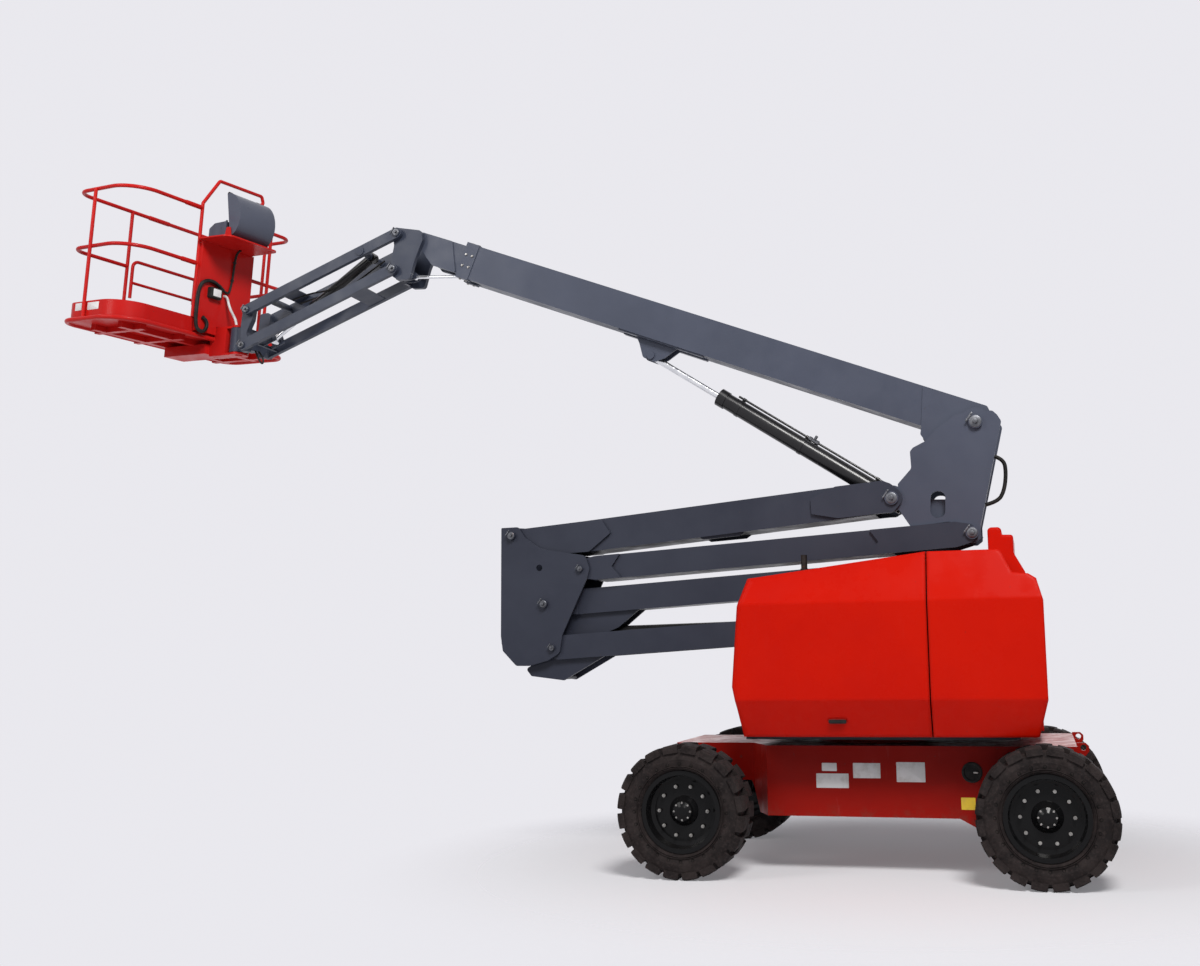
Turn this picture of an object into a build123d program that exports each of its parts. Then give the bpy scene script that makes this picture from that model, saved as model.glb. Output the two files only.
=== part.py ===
from build123d import *
import math
import os

# Articulating boom lift, parked with its tower low and its boom raised.
# Millimetres. +X runs to the counterweight end, the platform is at -X,
# +Y is the far side and +Z is up. The model is laid out about the slew
# axis on the ground, then moved so that its origin is at the bottom
# centre of its bounding box.

# Running clearances
PIN_PLAY = 0.3
SEAT_PLAY = 0.3
SIDE_PLAY = 5.0

# Wheels and axles
WHEELBASE = 2450.0
WHEEL_TRACK = 2020.0
TYRE_RADIUS = 457.0
TYRE_WIDTH = 345.0
LUG_HEIGHT = 30.0
LUGS_PER_SIDE = 20
RIM_RADIUS = 272.0
RIM_WALL = 10.0
RIM_RECESS = 30.0
RIM_LIP = 10.0
RIM_DISC_INSET = 95.0
HUB_BORE_RADIUS = 42.0
WHEEL_NUTS = 10
WHEEL_NUT_CIRCLE = 173.0
HUB_DOME_RADIUS = 78.0
KINGPIN_Y = 762.0
KINGPIN_RADIUS = 26.0
KNUCKLE_HEIGHT = 190.0
AXLE_BEAM = 140.0
STEER_ARM = 190.0
STEER_LIMIT = 30.0

# Chassis frame
CHASSIS_TOP = 880.0
CHASSIS_BOTTOM = 390.0
CHASSIS_HALF_WIDTH = 700.0
CHASSIS_REAR_X = 1445.0
NOSE_X = -1440.0
NOSE_HALF_WIDTH = 430.0
NOSE_BOTTOM = 610.0
REAR_ARCH_Z = 545.0
PLATE = 14.0
LUG_HOLE_RADIUS = 20.0
LUG_HOLE_OUT = 43.0
LUG_HOLE_Z = 866.0
LUG_PLATE = 25.0
REAR_LUG_Y = 560.0

# Turntable, hoods and counterweight
SLEW_RING_RADIUS = 430.0
SLEW_RING_HEIGHT = 62.0
DECK_THICKNESS = 20.0
HOOD_FRONT_X = -850.0
HOOD_SEAM_X = 505.0
HOOD_REAR_X = 1270.0
HOOD_HALF_WIDTH = 1120.0
HOOD_INNER_Y = 330.0
HOOD_BOTTOM = 962.0
HOOD_LOW_CREASE = 1215.0
HOOD_HIGH_CREASE = 1880.0
HOOD_TOP_FRONT = 2050.0
HOOD_TOP_REAR = 2215.0
HOOD_SKIN = 8.0
HOOD_FOOT_STEP = 95.0
SEAM_GAP = 8.0
TOWER_PLATE_IN = 205.0
TOWER_PLATE = 28.0
REAR_BLOCK_TOP = 2040.0
ENGINE_LENGTH = 820.0
ENGINE_WIDTH = 460.0
ENGINE_HEIGHT = 640.0

# Tower linkage: pin centres, X then Z
LOWER_ARM_PIN = (-2589.0, 1951.0)
LOWER_LINK_PIN = (-2521.0, 1600.0)
LOWER_PITCH = 3070.0
UPPER_ARM_PIN = (-2868.0, 2509.0)
UPPER_LINK_PIN = (-2282.0, 2223.0)
UPPER_PITCH = 3080.0
TOWER_SLOPE = 3.3
TOWER_PIN_RADIUS = 30.0
MID_PLATE_IN = 200.0
MID_PLATE = 16.0
ARM_HALF_WIDTH = 168.0
ARM_WALL = 8.0
FORK_PLATE = 14.0
LOWER_ARM_HEIGHT = 200.0
LOWER_ARM_HALF_WIDTH = 128.0
LOWER_LINK_HEIGHT = 190.0
LOWER_LINK_IN = 150.0
LOWER_LINK_BAR = 40.0
UPPER_ARM_HEIGHT = 250.0
UPPER_LINK_HEIGHT = 190.0
KNUCKLE_PLATE_IN = 148.0
KNUCKLE_PLATE = 18.0
PIN_HEAD_RADIUS = 46.0
PIN_HEAD = 18.0

# Tower lift cylinder
TOWER_CYL_BASE = (200.0, 1746.0)
TOWER_CYL_EYE = (-2430.0, 1700.0)
TOWER_CYL_RADIUS = 62.0
TOWER_ROD_RADIUS = 36.0

# Main boom
BOOM_PIVOT = (851.0, 3239.0)
BOOM_SLOPE = 21.6
BOOM_HEIGHT = 298.0
BOOM_WIDTH = 236.0
BOOM_WALL = 8.0
BOOM_LENGTH = 4550.0
BOOM_PIN_RADIUS = 40.0
FLY_HEIGHT = 250.0
FLY_WIDTH = 196.0
FLY_WALL = 7.0
FLY_TAIL = 750.0
FLY_TUBE_END = 4760.0
TIP_PIN_U = 4994.0
TIP_PIN_V = 60.0
TIP_PIN_RADIUS = 28.0
LIFT_EYE_U = 2655.0
LIFT_EYE_V = -275.0
LIFT_BASE = (305.0, 2617.0)
LIFT_RADIUS = 66.0
LIFT_ROD_RADIUS = 26.0
LIFT_BARREL = 1750.0
EYE_HALF_WIDTH = 38.0
CHEEK = 14.0

# Levelling cylinder at the boom tip
LEVEL_BASE_U = 4050.0
LEVEL_BASE_V = 30.0
LEVEL_RADIUS = 26.0
LEVEL_ROD_RADIUS = 14.0
LEVEL_BARREL = 480.0
LEVEL_LUG = (-3870.0, 4830.0)
LEVEL_SLOT_HALF = 60.0

# Jib
JIB_UPPER_PIN = (-3951.0, 5178.0)
JIB_LOWER_PIN = (-3985.0, 4860.0)
JIB_LENGTH = 1560.0
JIB_SLOPE = -21.1
JIB_ARM_IN = 170.0
JIB_ARM_WIDTH = 45.0
JIB_ARM_HEIGHT = 88.0
JIB_PIN_RADIUS = 22.0
JIB_CYL_UPPER = 370.0
JIB_CYL_LOWER = 1360.0
JIB_CYL_RADIUS = 42.0
JIB_ROD_RADIUS = 20.0
JIB_BARREL = 690.0
JIB_EYE_HALF = 50.0
JIB_RAIL_IN = 58.0
JIB_RAIL = 14.0

# Platform: plan positions are local to the rotator, X outward and Y along it
ROTATOR_X = -5600.0
ROTATOR_Z = 4390.0
ROTATOR_TILT = 3.8
ROTATOR_RADIUS = 84.0
ROTATOR_SHAFT = 30.0
ROTATOR_LOW = 4282.0
ROTATOR_HIGH = 4500.0
ROTATOR_PLATE = 20.0
BRACKET_HALF = 60.0
PLATFORM_TURN = -14.6
PLATFORM_FLOOR = 4425.0
NEAR_EDGE = -304.0
FAR_EDGE = -1052.0
NEAR_END = -1037.0
FAR_END = 787.0
PLATFORM_CORNER = 140.0
PLATFORM_BIG_CORNER = 270.0
TOE_HEIGHT = 148.0
RAIL_HEIGHT = 1155.0
MID_RAIL_HEIGHT = 639.0
RAIL_RADIUS = 17.0
POST_RADIUS = 15.5
FLOOR_RING_RADIUS = 20.0
FLOOR_RING_OUT = 26.0
HOOP_LEFT_Y = -298.0
HOOP_RIGHT_Y = 300.0
END_POST_X = -765.0
GATE_HINGE_POST_Y = 315.0
GATE_LATCH_POST_Y = -461.0
GATE_HINGE_RADIUS = 14.0
GATE_INSET = 38.0
GATE_TOP = 695.0
GATE_LOW_BAR = 490.0
GATE_FOOT = 345.0
PANEL_X = -262.0
PANEL_SHEET = 8.0
PANEL_HALF = 292.0
SHELF_HEIGHT = 863.0
SHELF_SHEET = 12.0
CONSOLE_HALF = 182.0
COVER_PIVOT_X = -36.0
COVER_PIVOT_Z = 950.0
COVER_PIVOT_IN = 60.0
COVER_HALF_FLAT = 205.0
COVER_BULGE = 153.0
COVER_HALF_LENGTH = 204.0
COVER_LEAN = 11.0
COVER_SKIN = 5.0
COVER_PIN_RADIUS = 7.0


def prism_xz(points, y0, y1, radius=0.0):
    """Solid between two XZ planes; radius rounds its corners, one value or a list."""
    corners = [(x, 0.0, z) for x, z in points]
    wire = Wire(FilletPolyline(*corners, radius=radius, close=True).edges())
    face = Face(wire)
    return Pos(0, y0, 0) * extrude(face, amount=y1 - y0, dir=(0, 1, 0))


def prism_xy(points, z0, z1, radius=0.0):
    """Solid between two heights with rounded plan corners."""
    corners = [(x, y, 0.0) for x, y in points]
    wire = Wire(FilletPolyline(*corners, radius=radius, close=True).edges())
    return Pos(0, 0, z0) * extrude(Face(wire), amount=z1 - z0, dir=(0, 0, 1))


def drum_y(x, z, radius, y0, y1):
    """Cylinder along Y."""
    return Pos(x, (y0 + y1) / 2, z) * Rot(90, 0, 0) * Cylinder(radius, y1 - y0)


def drum_x(x0, x1, radius, y=0.0, z=0.0):
    """Cylinder along X."""
    return Pos((x0 + x1) / 2, y, z) * Rot(0, 90, 0) * Cylinder(radius, x1 - x0)


def drum_z(x, y, radius, z0, z1):
    """Cylinder along Z."""
    return Pos(x, y, (z0 + z1) / 2) * Cylinder(radius, z1 - z0)


def block(x0, x1, y0, y1, z0, z1):
    """Box from its limits."""
    return Pos((x0 + x1) / 2, (y0 + y1) / 2, (z0 + z1) / 2) * Box(x1 - x0, y1 - y0, z1 - z0)


def both_sides(solid):
    """The solid and its mirror image across the XZ plane."""
    return solid + mirror(solid, about=Plane.XZ)


def axis_frame(start, end):
    """Location whose X axis runs from start to end in the XZ plane, Z upward."""
    dx = end[0] - start[0]
    dz = end[1] - start[1]
    length = math.hypot(dx, dz)
    c = dx / length
    s = dz / length
    up = (-s, 0, c) if c > 0 else (s, 0, -c)
    return Plane(origin=(start[0], 0, start[1]), x_dir=(c, 0, s), z_dir=up).location


def step_from(point, length, slope):
    """Point at a length and slope from another, toward -X for slopes seen from the platform."""
    angle = math.radians(slope)
    return (point[0] + length * math.cos(angle), point[1] + length * math.sin(angle))


def distance(a, b):
    return math.hypot(b[0] - a[0], b[1] - a[1])


def box_tube(x0, x1, z0, z1, half_width, wall, height):
    """Open-ended box beam; z0 and z1 are its centre heights at the two ends."""
    half = height / 2
    outer = prism_xz([(x0, z0 - half), (x1, z1 - half), (x1, z1 + half), (x0, z0 + half)],
                     -half_width, half_width)
    slope = (z1 - z0) / (x1 - x0)
    reach = 50.0
    zi0 = z0 - slope * reach
    zi1 = z1 + slope * reach
    inner = prism_xz([(x0 - reach, zi0 - half + wall), (x1 + reach, zi1 - half + wall),
                      (x1 + reach, zi1 + half - wall), (x0 - reach, zi0 + half - wall)],
                     -half_width + wall, half_width - wall)
    return outer - inner


def round_about(point, radius, y0, y1):
    """Round plate lug about a pin, on both sides."""
    return both_sides(drum_y(point[0], point[1], radius, y0, y1))


# Derived pin positions
TOWER_ARM_BASE = step_from(LOWER_ARM_PIN, LOWER_PITCH, TOWER_SLOPE)
TOWER_LINK_BASE = step_from(LOWER_LINK_PIN, LOWER_PITCH, TOWER_SLOPE)
KNUCKLE_ARM_PIN = step_from(UPPER_ARM_PIN, UPPER_PITCH, TOWER_SLOPE)
KNUCKLE_LINK_PIN = step_from(UPPER_LINK_PIN, UPPER_PITCH, TOWER_SLOPE)
JIB_UPPER_END = step_from(JIB_UPPER_PIN, JIB_LENGTH, 180.0 - JIB_SLOPE)
JIB_LOWER_END = step_from(JIB_LOWER_PIN, JIB_LENGTH, 180.0 - JIB_SLOPE)
JIB_CYL_BASE = step_from(JIB_UPPER_PIN, JIB_CYL_UPPER, 180.0 - JIB_SLOPE)
JIB_CYL_EYE = step_from(JIB_LOWER_PIN, JIB_CYL_LOWER, 180.0 - JIB_SLOPE)
WHEEL_X = WHEELBASE / 2
WHEEL_Y = WHEEL_TRACK / 2
DECK_LOW = CHASSIS_TOP + SLEW_RING_HEIGHT
DECK_HIGH = DECK_LOW + DECK_THICKNESS
FORK_OUT = MID_PLATE_IN - SIDE_PLAY
FORK_IN = FORK_OUT - FORK_PLATE
BOOM_HALF = BOOM_HEIGHT / 2


def boom_point(u, v):
    """Point on the boom: u along it from its pivot, v above its centre line."""
    angle = math.radians(BOOM_SLOPE)
    return (BOOM_PIVOT[0] - u * math.cos(angle) + v * math.sin(angle),
            BOOM_PIVOT[1] + u * math.sin(angle) + v * math.cos(angle))


TIP_PIN = boom_point(TIP_PIN_U, TIP_PIN_V)
LIFT_EYE = boom_point(LIFT_EYE_U, LIFT_EYE_V)
LEVEL_BASE = boom_point(LEVEL_BASE_U, LEVEL_BASE_V)
BOOM_FRAME = axis_frame(BOOM_PIVOT, boom_point(1000.0, 0.0))
ROTATOR_PLACE = Pos(ROTATOR_X, 0, ROTATOR_Z) * Rot(0, ROTATOR_TILT, 0) * Pos(0, 0, -ROTATOR_Z)
PLATFORM_PLACE = ROTATOR_PLACE * Rot(0, 0, PLATFORM_TURN)

# Hoses that hang free: their routes, section radii and what the routes start from.
KNUCKLE_HOSE_RADIUS = 15
KNUCKLE_ROUTE = [
    (976, -40, 2985), (1045, -40, 2960), (1055, -40, 2850),
    (1035, -40, 2720), (985, -40, 2640), (890, -40, 2620),
]
PLATFORM_HOSE_RADIUS = 12
PANEL_FACE = PANEL_X + PANEL_SHEET + SEAT_PLAY
BRACKET_TOP = ROTATOR_HIGH + 4 + ROTATOR_PLATE + SEAT_PLAY
PLATFORM_ROUTE = [
    (PANEL_FACE, -10, PLATFORM_FLOOR + 400), (PANEL_FACE + 42, -10, PLATFORM_FLOOR + 400),
    (PANEL_FACE + 70, 0, PLATFORM_FLOOR + 290), (-100, 30, BRACKET_TOP + 60), (-100, 30, BRACKET_TOP),
]


def lug_tyre():
    """Solid tyre with staggered shoulder lugs, axis along Y about the origin."""
    half = TYRE_WIDTH / 2
    base = TYRE_RADIUS - LUG_HEIGHT
    bead = half - RIM_RECESS - RIM_LIP
    side = [(RIM_RADIUS, -bead), (RIM_RADIUS + 12, -bead), (RIM_RADIUS + 24, -half + 20),
        (base - 70, -half + 8),
            (base - 18, -half + 14), (base, -half + 34), (base, half - 34), (base - 18, half - 14),
            (base - 70, half - 8), (RIM_RADIUS + 24, half - 20), (RIM_RADIUS + 12, bead),
            (RIM_RADIUS, bead)]
    profile = Face(Wire.make_polygon([(r, y, 0) for r, y in side], close=True))
    carcass = revolve(profile, axis=Axis.Y, revolution_arc=360)
    shell = [(base - 26, -half), (TYRE_RADIUS - 12, -half), (TYRE_RADIUS, -half + 22),
             (TYRE_RADIUS, half - 22), (TYRE_RADIUS - 12, half), (base - 26, half)]
    envelope = revolve(Face(Wire.make_polygon([(r, y, 0) for r, y in shell], close=True)),
                       axis=Axis.Y, revolution_arc=360)
    pitch = 360.0 / LUGS_PER_SIDE
    foot = base - 24
    lug_width = 2 * math.pi * TYRE_RADIUS / LUGS_PER_SIDE * 0.56
    reach = half + 12.0
    plan = [(-lug_width / 2, -18.0), (lug_width / 2, -18.0), (lug_width * 0.72, reach),
        (-lug_width * 0.62, reach)]
    footprint = Face(Wire.make_polygon([(x, y, foot) for x, y in plan], close=True))
    lug = extrude(footprint, amount=TYRE_RADIUS - foot + 10, dir=(0, 0, 1))
    left = envelope & lug
    right = mirror(left, about=Plane.XZ)
    lugs = []
    for index in range(LUGS_PER_SIDE):
        lugs.append(Rot(0, index * pitch, 0) * left)
        lugs.append(Rot(0, (index + 0.5) * pitch, 0) * right)
    return carcass.fuse(*lugs)


def wheel_rim():
    """Disc wheel with its hub cap and nuts, axis along Y, outer face toward -Y."""
    half = TYRE_WIDTH / 2 - RIM_RECESS
    lip = half - RIM_LIP + SEAT_PLAY
    disc = -half + RIM_DISC_INSET
    outer = RIM_RADIUS - SEAT_PLAY
    outline = [(outer - RIM_WALL - 12, -half), (outer + 9, -half), (outer + 9, -lip), (outer, -lip),
               (outer, lip), (outer + 9, lip), (outer + 9, half), (outer - RIM_WALL - 12, half),
               (outer - RIM_WALL - 24, disc + 16), (210.0, disc + 12), (190.0, disc + 14),
               (HUB_DOME_RADIUS, disc + 14),
               (HUB_DOME_RADIUS, half - 20), (HUB_BORE_RADIUS + PIN_PLAY, half - 20),
               (HUB_BORE_RADIUS + PIN_PLAY, disc - 30), (0, disc - 30), (0, disc - 74), (34.0, disc - 70),
               (66.0, disc - 52), (HUB_DOME_RADIUS, disc - 30), (HUB_DOME_RADIUS + 22, disc - 10),
               (HUB_DOME_RADIUS + 26, disc), (190.0, disc), (210.0, disc + 2),
               (outer - RIM_WALL - 24, disc - 8)]
    profile = Face(Wire.make_polygon([(r, y, 0) for r, y in outline], close=True))
    rim = revolve(profile, axis=Axis.Y, revolution_arc=360)
    nuts = []
    for index in range(WHEEL_NUTS):
        angle = 2 * math.pi * index / WHEEL_NUTS
        nuts.append(drum_y(WHEEL_NUT_CIRCLE * math.cos(angle), WHEEL_NUT_CIRCLE * math.sin(angle),
                           13.0, disc - 20, disc + 2))
    return rim.fuse(*nuts)


def chassis_frame():
    """Welded frame: an inverted trough that narrows ahead of the steered wheels."""
    def outline(inset):
        return [(NOSE_X + inset, -NOSE_HALF_WIDTH + inset), (-850, -NOSE_HALF_WIDTH + inset),
                (-770, -560 + inset), (-700 + inset * 0.5, -CHASSIS_HALF_WIDTH + inset),
                (CHASSIS_REAR_X - inset, -CHASSIS_HALF_WIDTH + inset),
                (CHASSIS_REAR_X - inset, CHASSIS_HALF_WIDTH - inset),
                (-700 + inset * 0.5, CHASSIS_HALF_WIDTH - inset), (-770, 560 - inset),
                (-850, NOSE_HALF_WIDTH - inset), (NOSE_X + inset, NOSE_HALF_WIDTH - inset)]
    outer = prism_xy(outline(0.0), CHASSIS_BOTTOM - 60, CHASSIS_TOP)
    inner = prism_xy(outline(PLATE), CHASSIS_BOTTOM - 100, CHASSIS_TOP - PLATE)
    trough = outer - inner
    reach = CHASSIS_HALF_WIDTH + 50
    low = CHASSIS_BOTTOM - 100
    under = prism_xz([(NOSE_X - 10, low), (WHEEL_X - 10, low), (WHEEL_X - 10, REAR_ARCH_Z - 210),
        (745, REAR_ARCH_Z - 210),
                      (645, CHASSIS_BOTTOM), (-790, CHASSIS_BOTTOM), (-870, NOSE_BOTTOM),
                      (NOSE_X - 10, NOSE_BOTTOM)],
                     -reach, reach)
    arch = prism_xz([(WHEEL_X - 215, low), (WHEEL_X - 135, REAR_ARCH_Z), (CHASSIS_REAR_X + 10, REAR_ARCH_Z),
                     (CHASSIS_REAR_X + 10, low)], -reach, reach)
    frame = trough - under - arch
    cross = block(-560, -560 + PLATE, -CHASSIS_HALF_WIDTH + 1, CHASSIS_HALF_WIDTH - 1, CHASSIS_BOTTOM,
        CHASSIS_TOP - 1)
    cross += block(560, 560 + PLATE, -CHASSIS_HALF_WIDTH + 1, CHASSIS_HALF_WIDTH - 1, CHASSIS_BOTTOM,
        CHASSIS_TOP - 1)
    ring = drum_z(0, 0, SLEW_RING_RADIUS, CHASSIS_TOP - 1, DECK_LOW)
    ring -= drum_z(0, 0, SLEW_RING_RADIUS - 90, CHASSIS_TOP - 2, DECK_LOW + 1)
    frame = frame + cross + ring
    hanger = block(-WHEEL_X - AXLE_BEAM / 2 - 40, -WHEEL_X - AXLE_BEAM / 2 - 12, -110, 110, 400,
        CHASSIS_TOP - 2)
    hanger += block(-WHEEL_X + AXLE_BEAM / 2 + 12, -WHEEL_X + AXLE_BEAM / 2 + 40, -110, 110, 400,
        CHASSIS_TOP - 2)
    hanger += drum_x(-WHEEL_X - AXLE_BEAM / 2 - 52, -WHEEL_X + AXLE_BEAM / 2 + 52, 30, 0, TYRE_RADIUS)
    top = CHASSIS_TOP + 18
    lug_plan = [(CHASSIS_REAR_X - 2, CHASSIS_TOP - 90), (CHASSIS_REAR_X + 55, CHASSIS_TOP - 68),
                (CHASSIS_REAR_X + 80, CHASSIS_TOP - 40), (CHASSIS_REAR_X + 80, top - 22),
                (CHASSIS_REAR_X + 58, top), (CHASSIS_REAR_X - 2, top)]
    rear_lug = prism_xz(lug_plan, REAR_LUG_Y, REAR_LUG_Y + LUG_PLATE)
    rear_lug -= drum_y(CHASSIS_REAR_X + LUG_HOLE_OUT, LUG_HOLE_Z, LUG_HOLE_RADIUS,
                       REAR_LUG_Y - 10, REAR_LUG_Y + LUG_PLATE + 10)
    nose_plan = [(NOSE_X + 2, CHASSIS_TOP - 150), (NOSE_X - 55, CHASSIS_TOP - 110),
        (NOSE_X - 55, CHASSIS_TOP - 45),
                 (NOSE_X - 15, CHASSIS_TOP - 20), (NOSE_X + 2, CHASSIS_TOP - 20)]
    nose_lug = prism_xz(nose_plan, 330, 355)
    nose_lug -= drum_y(NOSE_X - 27, CHASSIS_TOP - 82, LUG_HOLE_RADIUS, 320, 370)
    return frame + hanger + both_sides(rear_lug) + both_sides(nose_lug)


def front_axle():
    """Oscillating beam with a fork at each end for the steering knuckle."""
    x = -WHEEL_X
    half = AXLE_BEAM / 2
    beam_end = KINGPIN_Y - 112
    beam = block(x - half, x + half, -beam_end, beam_end, TYRE_RADIUS - half, TYRE_RADIUS + half)
    beam -= drum_x(x - half - 20, x + half + 20, 30 + PIN_PLAY, 0, TYRE_RADIUS)
    ear = KNUCKLE_HEIGHT / 2
    fork = block(x - half, x + half, beam_end - 30, KINGPIN_Y, TYRE_RADIUS - ear - 26,
        TYRE_RADIUS + ear + 26)
    fork += drum_z(x, KINGPIN_Y, half, TYRE_RADIUS - ear - 26, TYRE_RADIUS + ear + 26)
    fork -= block(x - half - 1, x + half + 1, beam_end + 32, KINGPIN_Y + half + 5,
                  TYRE_RADIUS - ear, TYRE_RADIUS + ear)
    fork += drum_z(x, KINGPIN_Y, KINGPIN_RADIUS, TYRE_RADIUS - ear - 30, TYRE_RADIUS + ear + 34)
    body = beam + both_sides(fork)
    ram_x = x - STEER_ARM
    ram = drum_y(ram_x, TYRE_RADIUS + 40, 42, -210, 210)
    ram -= drum_y(ram_x, TYRE_RADIUS + 40, 18 + PIN_PLAY, -215, 215)
    saddle = block(ram_x, x - half + 2, -160, -120, TYRE_RADIUS + 10, TYRE_RADIUS + 66)
    saddle -= drum_y(ram_x, TYRE_RADIUS + 40, 30, -165, -115)
    return body + ram + both_sides(saddle)


def steering_knuckle():
    """Left knuckle: block round the kingpin, wheel spindle and steering arm."""
    x = -WHEEL_X
    ear = KNUCKLE_HEIGHT / 2 - 1.0
    hub = drum_z(x, -KINGPIN_Y, 58, TYRE_RADIUS - ear, TYRE_RADIUS + ear)
    hub -= drum_z(x, -KINGPIN_Y, KINGPIN_RADIUS + PIN_PLAY, TYRE_RADIUS - ear - 1, TYRE_RADIUS + ear + 1)
    inner_face = WHEEL_Y - TYRE_WIDTH / 2 + 50
    flange = drum_y(x, TYRE_RADIUS, 92, -inner_face + 12, -KINGPIN_Y - 40)
    flange -= drum_z(x, -KINGPIN_Y, 57, TYRE_RADIUS - ear - 1, TYRE_RADIUS + ear + 1)
    spindle = drum_y(x, TYRE_RADIUS, HUB_BORE_RADIUS, -WHEEL_Y - 10, -inner_face + 13)
    arm = prism_xy([(x - 20, -KINGPIN_Y - 46), (x + 20, -KINGPIN_Y - 40),
        (x - STEER_ARM + 36, -KINGPIN_Y + 30),
                    (x - STEER_ARM, -KINGPIN_Y + 62), (x - STEER_ARM - 34, -KINGPIN_Y + 30),
                    (x - STEER_ARM - 30, -KINGPIN_Y - 10)],
                   TYRE_RADIUS - 30, TYRE_RADIUS)
    arm -= drum_z(x, -KINGPIN_Y, 57, TYRE_RADIUS - ear, TYRE_RADIUS + ear)
    return hub + flange + spindle + arm


def steering_rod():
    """Through rod of the steering ram with an eye above each steering arm."""
    ram_x = -WHEEL_X - STEER_ARM
    z = TYRE_RADIUS + 40
    rod = drum_y(ram_x, z, 18, -KINGPIN_Y + 60, KINGPIN_Y - 60)
    eye = drum_z(ram_x, -KINGPIN_Y + 30, 34, TYRE_RADIUS + 6, TYRE_RADIUS + 54)
    return rod + both_sides(eye)


def rear_axle():
    """Rigid axle bolted up under the frame, with a spindle at each end."""
    x = WHEEL_X
    half = AXLE_BEAM / 2
    inner_face = WHEEL_Y - TYRE_WIDTH / 2 + 50
    reach = CHASSIS_HALF_WIDTH + 4
    beam = block(x - half, x + half, -reach, reach, TYRE_RADIUS - half, TYRE_RADIUS + half)
    centre = Pos(x, 120, TYRE_RADIUS) * Sphere(150)
    pad = block(x - half - 30, x + half + 30, 610, 700, TYRE_RADIUS + half - 1, REAR_ARCH_Z)
    gear = drum_y(x, TYRE_RADIUS, 112, CHASSIS_HALF_WIDTH + 2, inner_face - 12)
    spindle = drum_y(x, TYRE_RADIUS, HUB_BORE_RADIUS, inner_face - 13, WHEEL_Y + 10)
    return beam + centre + both_sides(pad + gear + spindle)


def turntable_frame():
    """Deck plate on the slew ring and the two upright plates of the tower foot."""
    deck = prism_xy([(-790, -960), (HOOD_SEAM_X - 10, -1010), (1080, -960), (1080, 960),
        (HOOD_SEAM_X - 10, 1010),
                     (-790, 960)], DECK_LOW, DECK_HIGH)
    upright = [(60, DECK_HIGH - 1), (900, DECK_HIGH - 1), (860, 1900), (700, 2215), (330, 2215),
        (250, 1900), (90, 1560)]
    side = prism_xz(upright, TOWER_PLATE_IN, TOWER_PLATE_IN + TOWER_PLATE)
    back = block(840, 858, -TOWER_PLATE_IN - 1, TOWER_PLATE_IN + 1, DECK_HIGH - 1, 1700)
    pins = drum_y(TOWER_ARM_BASE[0], TOWER_ARM_BASE[1], TOWER_PIN_RADIUS, -TOWER_PLATE_IN - TOWER_PLATE - 8,
                  TOWER_PLATE_IN + TOWER_PLATE + 8)
    pins += drum_y(TOWER_LINK_BASE[0], TOWER_LINK_BASE[1], TOWER_PIN_RADIUS,
        -TOWER_PLATE_IN - TOWER_PLATE - 8,
                   TOWER_PLATE_IN + TOWER_PLATE + 8)
    foot = [(TOWER_CYL_BASE[0] - 150, DECK_HIGH - 1), (TOWER_CYL_BASE[0] + 150, DECK_HIGH - 1),
            (TOWER_CYL_BASE[0] + 55, TOWER_CYL_BASE[1] + 20), (TOWER_CYL_BASE[0], TOWER_CYL_BASE[1] + 55),
            (TOWER_CYL_BASE[0] - 55, TOWER_CYL_BASE[1] + 20)]
    stand = prism_xz(foot, 66, 66 + 22)
    stand_pin = drum_y(TOWER_CYL_BASE[0], TOWER_CYL_BASE[1], 30, -96, 96)
    rise = (HOOD_TOP_REAR - HOOD_TOP_FRONT) / (HOOD_SEAM_X - HOOD_FRONT_X)
    wall_out = HOOD_INNER_Y - SEAT_PLAY
    wall = prism_xz([(-720, DECK_HIGH - 1), (480, DECK_HIGH - 1), (480, HOOD_TOP_REAR - 25 * rise - 2),
                     (-720, HOOD_TOP_FRONT + 130 * rise - 2)], wall_out - 10, wall_out)
    return deck + both_sides(side) + back + pins + both_sides(stand) + stand_pin + both_sides(wall)


def cover_section(inset, top_z):
    """Cross-section of the side covers in Y and Z; an inset gives the space inside the skin."""
    w = HOOD_HALF_WIDTH - inset
    inner_y = HOOD_INNER_Y - 2 * inset
    foot_z = HOOD_BOTTOM - inset
    return [(inner_y, foot_z), (w - HOOD_FOOT_STEP, foot_z), (w, HOOD_LOW_CREASE), (w, HOOD_HIGH_CREASE),
            (w - 110, top_z - inset), (inner_y, top_z - inset)]


def side_cover(x0, x1, top0, top1, inset=0.0):
    """Lofted cover body between two X stations on the near side."""
    a = [(x0, -y, z) for y, z in cover_section(inset, top0)]
    b = [(x1, -y, z) for y, z in cover_section(inset, top1)]
    return loft([Face(Wire.make_polygon(a, close=True)), Face(Wire.make_polygon(b, close=True))],
        ruled=True)


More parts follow.
